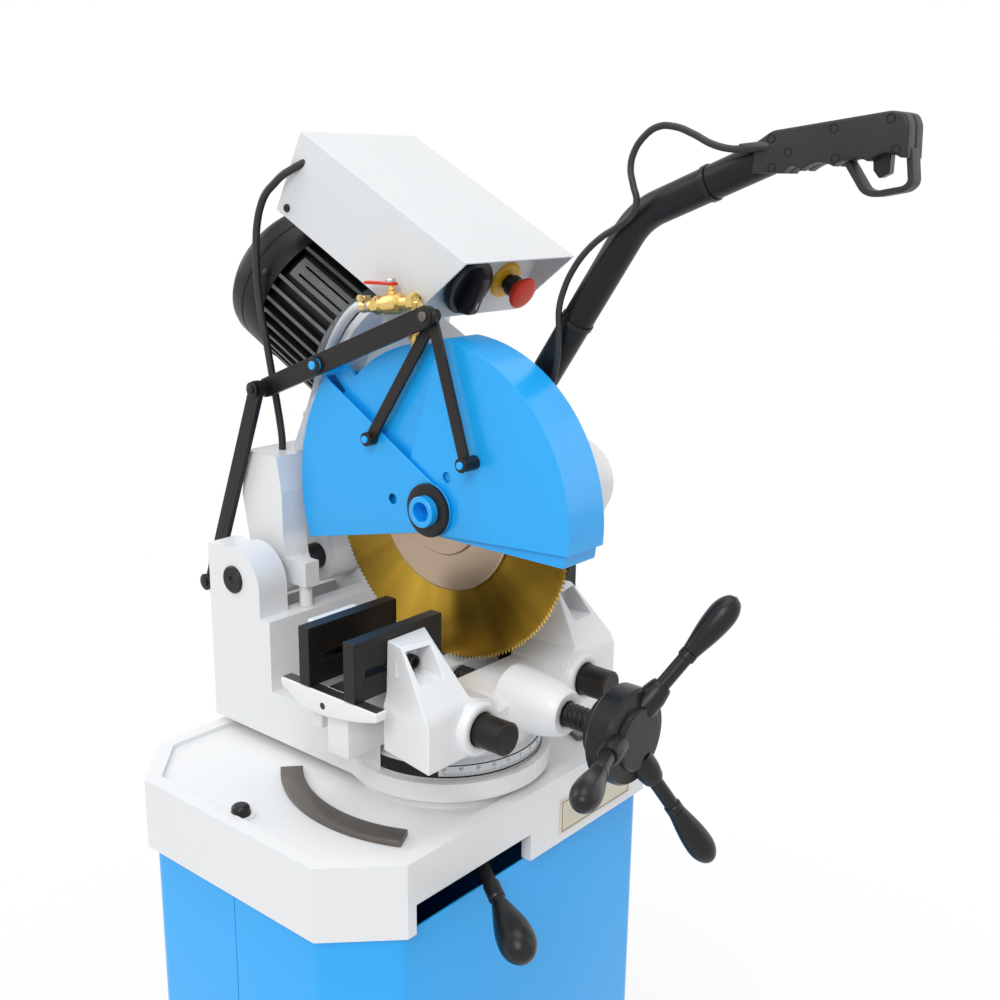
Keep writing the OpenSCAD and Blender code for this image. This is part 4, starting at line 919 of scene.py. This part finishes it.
# Control box
class SAW_OT_controls(bpy.types.Operator):
    """Folded control box with its panel, rotary switch and stop button"""
    bl_idname = "saw.controls"
    bl_label = "Controls"

    def execute(self, context):
        softened("control_box", 0.0018, 4)
        softened("control_panel", 0.0006, 2)
        self.switch()
        self.stop()
        head = revolve(round_over(4.2, 2.6, 1.4), 20)
        heads = [put(head, on_head(x, 324, 147), way) for x, way in ((-8, -X), (158, X))]
        piece("box_screws", heads, "black_plastic", "head")
        gland = [(5.2, 0), (12, 0), (12, 3.4), (10.6, 4.2), (9.6, 12), (7.4, 15), (5.2, 15)]
        piece("inlet_gland", [put(revolve(gland, 32, hollow=True), on_head(120, 339, 165), ALONG)],
              "black_plastic", "head")
        return {"FINISHED"}

    def switch(self):
        """A dial with a rolled rim, and a grip bar whose outline shrinks by a table as it rises."""
        face = on_head(52, 121.5, PANEL_W)
        dial = [(0, 0), (25, 0), (25, 3.4), (29.4, 3.8), (29.8, 5), (29.8, 9.6), (28.6, 11), (24, 11.4),
                (23.2, 10.4), (0, 10.4)]
        bar = rolled([[-8.4, -28], [8.4, -28], [7.4, 24], [-7.4, 24]], 5.5, 6)
        shrink, rise = np.array([1, 0.86, 0.78, 0.6]), np.array([0, 0.75, 0.93, 1.0])
        height = np.broadcast_to((10 + 15.4 * rise)[:, None, None], (len(rise), len(bar), 1))
        layers = np.concatenate([bar[None] * shrink[:, None, None], height], -1)
        shaft = revolve([(0, -12), (5.8, -12), (5.8, 1), (0, 1)], 24)
        shapes = [put(shape, face, -ALONG, X) for shape in (revolve(dial, 72), grid(layers), shaft)]
        piece("main_switch_knob", shapes, "black_plastic", "main_switch", ("main_switch",))
        line = prism(oblong(-0.7, 0.7, -15, -8), 25.2, 25.5)
        piece("switch_pointer", [put(line, face, -ALONG, X)], "white_sheet", "main_switch")

    def stop(self):
        """A round collar and a mushroom button on a black neck."""
        face = on_head(115, 122, PANEL_W)
        ring = [(8.6, 0), (20, 0), (20, 2.6), (18.6, 4.6), (13, 5), (8.6, 5)]
        cap = [(0, 18.6), (11, 18.6), (12.4, 20.4), (16.2, 24.6), (17.4, 27.4), (16.9, 29.4), (14, 31.2),
               (8, 32), (0, 32.2)]
        neck = [(0, -9), (7.8, -9), (7.8, 9.4), (10.4, 9.8), (11.4, 10.8), (11.4, 18), (10.4, 19), (0, 19)]
        collar, cap, neck = (put(shape, face, -ALONG) for shape in
                             (revolve(ring, 64, hollow=True), revolve(cap, 56), revolve(neck, 40)))
        piece("stop_collar_ring", [collar], "yellow_plastic", "head", ("stop_collar",))
        piece("stop_button_cap", [cap], "red_plastic", "stop_button", ("stop_button",))
        piece("stop_button_neck", [neck], "black_plastic", "stop_button")


# Guards
class SAW_OT_guards(bpy.types.Operator):
    """Blue sheet guards round the blade with their hub"""
    bl_idname = "saw.guards"
    bl_label = "Blade guards"

    def execute(self, context):
        softened("fixed_guard", 0.0009, 3)
        softened("rear_guard", 0.0006, 2)
        softened("front_guard", 0.0006, 2)
        tube = [(10, 0), (10.6, -0.6), (14.9, -0.6), (15.5, 0), (15.5, 22.9), (10, 22.9)]
        plug = [(0, 19), (10.2, 19), (10.2, 22), (0, 22)]
        hub = [put(shape, ARBOR - HUB_FACE * X, X)
               for shape in (revolve(tube, 64, hollow=True), revolve(plug, 48))]
        piece("guard_hub_tube", hub, "blue_paint", "head", ("guard_hub",))
        ring = [(15.6, 0), (25.2, 0), (26.6, 0.7), (27, 2), (27, 4), (15.6, 4)]
        washer = put(revolve(ring, 64, hollow=True), ARBOR - (HUB_FACE - 8) * X, X)
        piece("guard_washer_ring", [washer], "black_plastic", "head", ("guard_washer",))
        return {"FINISHED"}


# Linkage: each pivot's place to the rear and above the rim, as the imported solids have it
PIVOTS = {"end": (224, 372), "lever": (142, 405.08), "tip": (-9, 466), "foot": (316, 140),
          "rear": (80, 336), "front": (-52, 331)}


class SAW_OT_linkage(bpy.types.Operator):
    """Flat bars that work the guards, with their bolts and washers"""
    bl_idname = "saw.linkage"
    bl_label = "Guard linkage"

    def execute(self, context):
        edge = context.scene.saw_sizes.plate_edge
        for node in ("guard_lever", "lift_link", "rear_guard_link", "front_guard_link"):
            softened(node, edge, 3)
        for name, x, pivot, body, big, tint in (
            ("bolt_lever_pivot", -46, "lever", "head", 8.4, "blue_paint"),
            ("bolt_lever_tip", -43, "tip", "guard_lever", 9.0, "track_steel"),
            ("bolt_lever_end", -60, "end", "guard_lever", 8.2, "black_steel"),
            ("bolt_lift_foot", -63, "foot", "lift_link", 9.6, "black_steel"),
            ("bolt_rear_flap", -34, "rear", "rear_guard_link", 7.2, "blue_paint"),
            ("bolt_front_flap", -39, "front", "front_guard_link", 7.2, "blue_paint"),
        ):
            y, z = PIVOTS[pivot]
            washer = put(revolve(round_over(big, 1.6, 0.6), 40), (x, y, RIM + z), -X)
            piece(name + "_washer", [washer], "black_steel", body)
            stub = put(revolve(round_over(big * 0.52, 2.6, 0.9), 28), (x - 1.4, y, RIM + z), -X)
            piece(name, [stub], tint, body)
        return {"FINISHED"}


# Blade
class SAW_OT_blade(bpy.types.Operator):
    """Coated blade with its teeth, the flanges and the clamping nut"""
    bl_idname = "saw.blade"
    bl_label = "Blade"

    def execute(self, context):
        sizes = context.scene.saw_sizes
        disc = self.disc(157.5, sizes.tooth_count, sizes.tooth_depth / MM)
        piece("blade_disc", [put(disc, ARBOR, -X)], "coated_blade", "spindle", ("blade",), smooth=20)
        edge = [(16.2, 1.3), (84.6, 1.3), (86, 2.4), (86, 4.6), (84.4, 5.75), (49.2, 5.75), (49.2, 7.6),
                (48, 8.75), (16.2, 8.75)]
        flange = put(revolve(edge, 96, hollow=True), ARBOR, -X)
        piece("blade_flange_turned", [flange], "flange_steel", "spindle", ("blade_flange",))
        nut = [put(bolt_head(15, 4.4, 6, 1.0), ARBOR - 8.8 * X, -X),
               put(revolve(round_over(8, 1.0, 0.8), 32), ARBOR - 12.6 * X, -X)]
        piece("spindle_nut", nut, "black_steel", "spindle")
        return {"FINISHED"}

    def disc(self, radius, count, depth):
        """A thin disc: rings of equal angle from the bore to the rim, where each tooth's radius falls from
        its tip by the depth times a table of shares, and comes up again at the next tooth's face."""
        s = np.array([0.0, 0.12, 0.34, 0.62, 0.86, 0.97])
        drop = np.array([0.0, 0.45, 0.86, 1.0, 0.9, 0.35])
        a = ((np.arange(count)[:, None] + s[None]) * TURN / count).ravel()
        rim, half, half_rim = radius - depth * np.tile(drop, count), 1.25, 1.1
        base = np.array([16.0, 60, 110, 140, 150, 153.4])
        flat = np.full(len(base), half)
        rings = np.concatenate([np.broadcast_to(base[:, None], (len(base), len(a))), rim[None]])
        dist = np.concatenate([rings, rings[::-1], rings[:1]])
        z = np.concatenate([flat, [half_rim], [-half_rim], -flat, [half]])
        height = np.broadcast_to(z[:, None], dist.shape)
        return grid(np.stack([dist * np.cos(a), dist * np.sin(a), height], -1), caps=False)


# Motor
def arc_block(radii, turn, run, n=9):
    """A curved block round the motor's axis: its outline goes out along the outer arc and back along the
    inner one, and is carried from the first run to the last."""
    a = np.radians(np.linspace(*turn, n))
    angle = np.concatenate([a, a[::-1]])
    dist = np.repeat([radii[1], radii[0]], n)
    return grid(np.stack([on_motor(dist, angle, np.full(2 * n, u)) for u in run]))


class SAW_OT_motor(bpy.types.Operator):
    """Finned motor with its pad, and the fan cowl with its grille"""
    bl_idname = "saw.motor"
    bl_label = "Motor"

    def execute(self, context):
        axis = on_head(MOTOR[0], 0, MOTOR[1])
        self.body(axis)
        self.cowl(axis)
        return {"FINISHED"}

    def body(self, axis):
        """A turned core and end shield, a fin at every step of angle but for the pad's, and the pad as
        three strips joined at their far end."""
        step, half, pad, pad_tip = 9.5, 1.3, (133.5, 149.8), FIN_TIP + 0.8
        fins = [arc_block((FIN_FOOT, FIN_TIP), (deg - half, deg + half), (214, 310), 4)
                for deg in np.arange(3.3, 363, step) if not 132 < deg < 152]
        core = [(0, 206), (73, 206), (73, 312), (0, 312)]
        shield = [(0, 200), (80, 200), (83.4, 203), (84, 206), (84, 213), (83, 216), (0, 216)]
        turned_pieces = [put(revolve(profile, 96), axis, ALONG) for profile in (core, shield)]
        piece("motor_fins", turned_pieces + fins, "fin_paint", "head", ("motor_body",))
        strips = [arc_block((FIN_FOOT, pad_tip), turn, (206, 292))
                  for turn in ((pad[0], 137.3), (138.9, 144.6), (146.4, pad[1]))]
        strips.append(arc_block((FIN_FOOT, pad_tip), pad, (287, 297)))
        piece("motor_pad", strips, "pad_alloy", "head")

    def cowl(self, axis):
        """A turned shell with a groove, closed by a grille of a boss, three rings and twelve bars."""
        wall = [(82.4, 308), (84.8, 308), (85.2, 309), (85.2, 339.6), (84.4, 340.2), (84.4, 341.8),
                (85.2, 342.4), (85.2, 357), (83.8, 362), (79.6, 367), (73, 370), (58, 370), (58, 367.6),
                (72.4, 367.6), (77.6, 365), (81, 360.6), (82.4, 356)]
        boss = [(0, 367.4), (15, 367.4), (16, 368.4), (16, 369.4), (15, 370.2), (0, 370.2)]
        rings = [revolve(oblong(r - 2, r + 2, 368, 370), 72, hollow=True) for r in (26, 36, 46)]
        shapes = [put(shape, axis, ALONG)
                  for shape in (revolve(wall, 96, hollow=True), revolve(boss, 48), *rings)]
        bar = prism(oblong(13, 60, -1.6, 1.6), 367.9, 369.9, 0.4, 3)
        for turn in np.radians(np.arange(0, 360, 30)):
            shapes.append(put(bar, axis, ALONG, math.cos(turn) * X + math.sin(turn) * ACROSS))
        piece("fan_cowl_shell", shapes, "motor_paint", "head", ("fan_cowl",))
        heads = []
        for turn in np.radians((20, 160, 240, 300)):
            foot = on_motor(85, turn, 322)
            heads.append(put(bolt_head(4.5, 3, 6, 0.6), foot, on_motor(86, turn, 322) - foot))
        piece("cowl_screws", heads, "black_steel", "head")


# Handle
def in_handle_plane(line):
    """Points (rear, up) above the rim, set in the handle's upright plane."""
    return np.concatenate([np.full((len(line), 1), HANDLE_X), line + [0, RIM]], -1)


def handle_line():
    """The tube's centre line: a straight run, an arc and a straight run to the grip, with the directions
    of the two straight runs."""
    a, b, c = np.array([-39.0, 360.3]), np.array([-172.0, 560.0]), np.array([-300.0, 612.0])
    d1, d2 = (b - a) / np.linalg.norm(b - a), (c - b) / np.linalg.norm(c - b)
    turn = math.acos(d1.dot(d2))
    cut = TUBE_BEND * math.tan(turn / 2)
    mid = b - d1 * cut + TUBE_BEND * np.array([-d1[1], d1[0]])
    start = math.atan2(d1[1], d1[0]) - math.pi / 2
    t = start + turn * np.linspace(0, 1, 17)
    arc = mid + TUBE_BEND * np.stack([np.cos(t), np.sin(t)], -1)
    line = np.concatenate([[a - d1 * 2], a + d1 * np.linspace(4, 200, 6)[:, None], arc, [c]])
    return in_handle_plane(line), np.array([0, d1[0], d1[1]]), np.array([0, d2[0], d2[1]])


class SAW_OT_handle(bpy.types.Operator):
    """Bent handle tube with its collar and ties, moulded grip and trigger"""
    bl_idname = "saw.handle"
    bl_label = "Handle"

    def execute(self, context):
        line, foot_way, grip_way = handle_line()
        tube = sweep(line, circle(TUBE_RADIUS, 40), X)
        piece("handle_tube_bent", [tube], "motor_paint", "head", ("handle_tube",))
        softened("handle_collar", 0.0010, 3)
        self.grip()
        softened("trigger", 0.0012, 3)
        strap = revolve(oblong(TUBE_RADIUS + 0.1, TUBE_RADIUS + 1.3, -2.2, 2.2), 40, hollow=True)
        straps = [put(strap, line[4], foot_way), put(strap, line[-1] - 62 * grip_way, grip_way)]
        piece("cable_tie_straps", straps, "black_plastic", "head", ("cable_ties",))
        self.screws()
        path = np.array([(43.5, -279, 616), (43.5, -283, 616.4), (44.4, -288, 617), (46.5, -294, 617.6),
                         (50, -301, 618)])
        sleeve = sweep(path + ON_RIM, circle(4.0, 24), X)
        piece("lead_grommet", [sleeve], "black_rubber", "head")
        return {"FINISHED"}

    def grip(self):
        """Two halves raised sideways from the grip's side view, and a flat bar carried along the loop."""
        outline = self.grip_outline()
        for name, low, high in (("grip_left", 47.0, 61.8), ("grip_right", 62.2, 77.0)):
            half = put(prism(outline, low, high, 2.6, 5), ON_RIM, X, Y)
            piece(name + "_shell", [half], "grip_plastic", "head", (name,))
        corners = [[-366, 606], [-381.5, 584.5], [-390, 582.2], [-414, 586.8], [-418.6, 591.5],
                   [-415, 616]]
        path = in_handle_plane(rolled(corners, 7, 7, closed=False))
        bar = rolled(oblong(-8, 8, -2.4, 2.4), 1.2, 4)
        piece("grip_loop", [sweep(path, bar[:, ::-1], X)], "grip_plastic", "head")

    def grip_outline(self):
        """The grip's side view: a sloping top, a blunt front, and a lower edge whose height is a straight
        line plus 4.6 |sin(pi s)|^0.9, with s counting the finger hollows."""
        front, back = -411, -315
        y = np.linspace(front, back, 57)
        hollow = np.interp(y, (front, -386, -358, -330.5, back), (0, 1, 2, 3, 4))
        low = np.interp(y, (front, back), (609.5, 597.0)) + 4.6 * np.abs(np.sin(math.pi * hollow)) ** 0.9
        top = rolled([[-288, 597], [-288, 620], [-304, 630], [-402, 643.4], [-412, 641.6], [-416, 634],
                      [-417, 609]], 3, 5, closed=False)
        return np.concatenate([top, np.stack([y, low], -1)])

    def screws(self):
        """Sunk screws in the grip's left face, each with a low rim round its well."""
        well = [(0, -2.2), (2.6, -2.2), (2.8, 0.2), (3.6, 0.3), (3.8, -0.6), (3.8, -3), (0, -3)]
        places = ((-304, 624), (-357, 631), (-402, 637.5), (-306, 601.5), (-360, 608.5), (-408, 615),
                  (-319.5, 613))
        wells = [put(revolve(well, 24), (47, y, RIM + z), -X) for y, z in places]
        piece("grip_screws", wells, "motor_paint", "head")


# Coolant
class SAW_OT_coolant(bpy.types.Operator):
    """Brass tap, hose tail and nipple on the guard, with a red lever"""
    bl_idname = "saw.coolant"
    bl_label = "Coolant tap"

    def execute(self, context):
        tilt, lever_u = math.radians(-8), -46
        fore = np.array([0, math.cos(tilt), math.sin(tilt)])
        high = np.array([0, -math.sin(tilt), math.cos(tilt)])
        at = np.array([-20, 100, RIM + 465.0])

        def along(u, w=0.0):
            """A place on the tap: u along its bore and w towards its lever."""
            return at + u * fore + w * high

        self.tap(along, fore, high, along(lever_u, 8))
        arm = rolled([[-4.6, -6], [4.6, -6], [4.4, 6], [3.4, 10], [5.0, 34], [-5.0, 34], [-3.4, 10],
                      [-4.4, 6]], 2.6)
        lift = math.radians(7)
        rise = math.cos(lift) * high - math.sin(lift) * fore
        lever = put(prism(arm, 0.1, 3.0, 0.6, 3), along(lever_u, 17.5), rise, X)
        piece("tap_lever", [lever], "red_plastic", "valve_lever", ("valve_lever",))
        nut = put(bolt_head(5.2, 3.6, 6, 0.5), along(lever_u, 20.2), high)
        piece("tap_lever_nut", [nut], "bright_steel", "valve_lever")
        tail = put(revolve(oblong(4.3, 5.2, -15, 5.2), 32, hollow=True), at, fore)
        piece("hose_sleeve", [tail], "clear_hose", "head")
        clip = put(revolve(oblong(5.25, 6.3, -11.5, -3.5), 40, hollow=True), at, fore)
        lug = prism(rolled(oblong(-4.5, 4.5, -4.2, 4.2), 1.2), 5.6, 10.4, 0.5, 3)
        worm = put(bolt_head(3.6, 4.4, 8, 0.5), along(-7.5, 8.2) - 4 * X, -X)
        piece("hose_clip_band", [clip, put(lug, along(-7.5), high, X), worm], "hose_clip", "head")
        return {"FINISHED"}

    def tap(self, along, fore, high, stem_foot):
        """The turned body with a ribbed hose tail, two nuts and the lever's stem, and the nipple that
        stands in the guard."""
        tail = [(0, 0), (6.6, 0), (6.6, 2), (4.2, 3), (5.5, 5), (4.2, 9), (5.5, 11), (4.2, 15), (5.5, 17),
                (4.2, 21), (4.2, 24), (0, 24)]
        body = [(0, 0), (7, 0), (8, 1), (8, 7), (6.6, 8), (6.6, 20), (9.8, 22), (10.5, 26), (10.5, 36),
                (9.8, 41), (6.8, 43), (6.8, 47), (8, 48), (8, 57), (7, 58), (0, 58)]
        stem = [(0, 0), (5, 0), (5, 4), (3.6, 5), (3.6, 9), (0, 9)]
        nipple = [(0, 0), (4.5, 0), (4.5, 14), (6.8, 15), (6.8, 22), (4.5, 23), (4.5, 51), (3.6, 52),
                  (0, 52)]
        shapes = [put(revolve(tail, 32), along(-20), fore), put(revolve(body, 40), along(-78), fore),
                  put(prism(circle(9.2, 6), 0, 9, 0.8, 3), along(-30), fore),
                  put(prism(circle(9.2, 6), 0, 8, 0.8, 3), along(-78), fore),
                  put(revolve(stem, 24), stem_foot, high),
                  put(revolve(nipple, 32), (-20.5, 24, RIM + 424), Z),
                  put(revolve([(0, 0), (4.4, 0), (4.4, 4.6), (0, 4.6)], 24), (-20.6, 28.5, RIM + 424), X)]
        piece("coolant_tap", shapes, "bronze", "head", ("coolant_valve",))


# Vise
class SAW_OT_vise(bpy.types.Operator):
    """Jaw plates, guide bars, threaded screw and socket screws"""
    bl_idname = "saw.vise"
    bl_label = "Vise"

    def execute(self, context):
        sizes = context.scene.saw_sizes
        softened("front_jaw_plates", sizes.plate_edge, 2)
        softened("rear_jaw_plates", sizes.plate_edge, 2)
        bar = revolve([(0, 0), (13.6, 0), (16, 1.6), (16, 255), (15, 256), (0, 256)], 64)
        bars = [put(bar, (x, -148, VISE[2]), Y) for x in (-BAR_X, BAR_X)]
        piece("guide_bars_turned", bars, "black_steel", "base", ("guide_bars",))
        self.screw(sizes.thread_pitch / MM, sizes.thread_depth / MM)
        cup = revolve([(0, 0), (7, 0), (7, 6.6), (6.2, 8), (4.4, 8), (3.6, 4), (0, 4)], 40)
        heads = [put(cup, (x, JAW_FACE - 14, RIM + 158), -Y) for x in (-110, 110)]
        piece("jaw_socket_screws", heads, "black_steel", "front_jaw", ("jaw_screws",))
        return {"FINISHED"}

    def screw(self, pitch, depth):
        """A rod whose radius is r - depth (1 - ridge), the ridge being a flat-topped wave of the turn
        angle plus the run along the rod divided by the pitch."""
        steps, radius, middle, run = 28, 12, 17, np.arange(-192, -17.0, 0.75)
        a = np.linspace(0, TURN, steps, endpoint=False)
        wave = np.sin(TURN * (run[:, None] / pitch) + a[None])
        ridge = 0.5 + 0.5 * np.clip(wave * 1.7, -1, 1)
        dist = radius - depth * (1 - ridge)
        along = np.broadcast_to(run[:, None], dist.shape)
        front = np.stack([dist * np.cos(a), along, dist * np.sin(a)], -1)
        core = [(0, 0), (9, 0), (9, 34), (0, 34)]
        back = [(0, 0), (11, 0), (12, 1), (12, 78), (11, 79), (0, 79)]
        shapes = [grid(front + VISE), put(revolve(core, 40), VISE - middle * Y, Y),
                  put(revolve(back, 40), VISE + middle * Y, Y)]
        piece("vise_screw_thread", shapes, "black_steel", "vise_screw", ("vise_screw",), smooth=40)


# Knobs
def egg(tall, wide, neck):
    """A hand knob's profile: up to its widest place, the share m of its length, its radius is
    neck + (wide - neck) sin(pi s / 2m)^1.15, and from there wide sqrt(1 - ((s - m) / (1 - m))^2)."""
    widest, foot = 0.66, 0.4
    s = np.linspace(0, 1, 28)
    r = neck + (wide - neck) * np.sin(np.pi * np.minimum(s / widest, 1.0) / 2) ** 1.15
    end = wide * np.sqrt(np.maximum(1 - ((s - widest) / (1 - widest)) ** 2, 0))
    r = np.where(s > widest, end, r)
    return np.concatenate([[[0, 0], [neck * 0.92, 0]], np.stack([r, foot + s * (tall - foot)], -1)])


class SAW_OT_knobs(bpy.types.Operator):
    """Vise handwheel and locking lever with their moulded knobs"""
    bl_idname = "saw.knobs"
    bl_label = "Hand knobs"

    def execute(self, context):
        self.wheel()
        self.lock()
        return {"FINISHED"}

    def wheel(self):
        """A turned hub, and three arms that lean forwards, each a root, a rod and a knob on one axis."""
        front, reach, lean = VISE - 192 * Y, 98, math.radians(23)
        foot = front - 24 * Y
        hub = [(0, 0), (27, 0), (30, 2), (30, 13.5), (43, 14), (46, 17), (46, 36), (43.5, 39.6), (33, 40),
               (30.6, 40.6), (30, 44.4), (28.6, 46), (0, 46)]
        root = revolve([(0, 30), (13, 30), (12.6, 46), (10.5, 56), (9, 59), (0, 59)], 32)
        rod = revolve([(0, 36), (7, 36), (7, reach - 1), (6, reach), (0, reach)], 32)
        neck = [[0, -8], [7.6, -8], [8.4, -7], [8.4, -0.4]]
        knob = revolve(np.concatenate([neck, egg(66, 13.5, 8.2)[1:]]), 48)
        shapes, knobs = [put(revolve(hub, 72), front, -Y)], []
        for turn in (math.radians(deg) for deg in (56, -64, 176)):
            out = math.cos(turn) * X + math.sin(turn) * Z
            way = math.cos(lean) * out - math.sin(lean) * Y
            shapes += [put(root, foot, way), put(rod, foot, way)]
            knobs.append(put(knob, foot + reach * way, way))
        piece("handwheel_hub", shapes, "black_plastic", "vise_screw", ("handwheel",))
        piece("handwheel_knobs", knobs, "black_plastic", "vise_screw", ("handwheel_grips",))

    def lock(self):
        """A turned hub on the swivel's axis, and a bar and a knob that drop away from it on one axis."""
        turn, drop, reach = math.radians(240), math.radians(12.5), 168
        out = math.cos(turn) * X + math.sin(turn) * Y
        way = math.cos(drop) * out - math.sin(drop) * Z
        at = np.array([0, 0, RIM - 36.0])
        hub = [(0, -12), (23, -12), (24, -11), (24, 11), (23, 12), (9, 12), (9, 41), (0, 41)]
        bar = [(0, 0), (7, 0), (7, 140), (8.4, 142), (8.4, 160), (7, 162), (7, reach), (0, reach)]
        shapes = [put(revolve(hub, 48), at, Z), put(revolve(bar, 32), at, way)]
        piece("lock_lever_bar", shapes, "black_plastic", "lock_lever", ("lock_lever",))
        knob = put(revolve(egg(70, 18, 8.6), 48), at + reach * way, way)
        piece("lock_lever_knob", [knob], "black_plastic", "lock_lever", ("lock_knob",))


# The rest
class SAW_OT_solids(bpy.types.Operator):
    """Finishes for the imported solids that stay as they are, and the hinge pin"""
    bl_idname = "saw.solids"
    bl_label = "Other solids"

    def execute(self, context):
        pin = [(0, 1.6), (3.4, 1.6), (4.4, 0), (13.6, 0), (15, 1.2), (15, 200.8), (13.6, 202), (0, 202)]
        pin = put(revolve(pin, 64), HINGE - 101 * X, X)
        piece("hinge_pin_turned", [pin], "black_steel", "swivel", ("hinge_pin",))
        for node, made in NODES.items():
            if not made.hide_render:
                look = "motor_paint" if node == "motor_rotor" else SLOT_OF[node]
                made.data.materials.clear()
                made.data.materials.append(finish(look))
        return {"FINISHED"}


class SAW_PT_panel(bpy.types.Panel):
    """Sizes, colours and the steps that build the saw"""
    bl_idname = "SAW_PT_panel"
    bl_label = "Cold Saw"
    bl_space_type = "VIEW_3D"
    bl_region_type = "UI"
    bl_category = "Cold Saw"

    def draw(self, context):
        for group in (context.scene.saw_sizes, context.scene.saw_colours):
            for name in group.__annotations__:
                self.layout.prop(group, name)
        for step in STEPS:
            self.layout.operator(step.bl_idname)


STEPS = (SAW_OT_stage, SAW_OT_cords, SAW_OT_castings, SAW_OT_stand, SAW_OT_scale, SAW_OT_controls,
         SAW_OT_guards, SAW_OT_linkage, SAW_OT_blade, SAW_OT_motor, SAW_OT_handle, SAW_OT_coolant,
         SAW_OT_vise, SAW_OT_knobs, SAW_OT_solids)
CLASSES = (SawSizes, SawColours) + STEPS + (SAW_PT_panel,)


def register():
    for cls in CLASSES:
        bpy.utils.register_class(cls)
    bpy.types.Scene.saw_sizes = PointerProperty(type=SawSizes)
    bpy.types.Scene.saw_colours = PointerProperty(type=SawColours)


def unregister():
    del bpy.types.Scene.saw_colours
    del bpy.types.Scene.saw_sizes
    for cls in reversed(CLASSES):
        bpy.utils.unregister_class(cls)


def main():
    register()
    for step in STEPS:
        group, name = step.bl_idname.split(".")
        getattr(getattr(bpy.ops, group), name)()


if __name__ == "__main__":
    main()
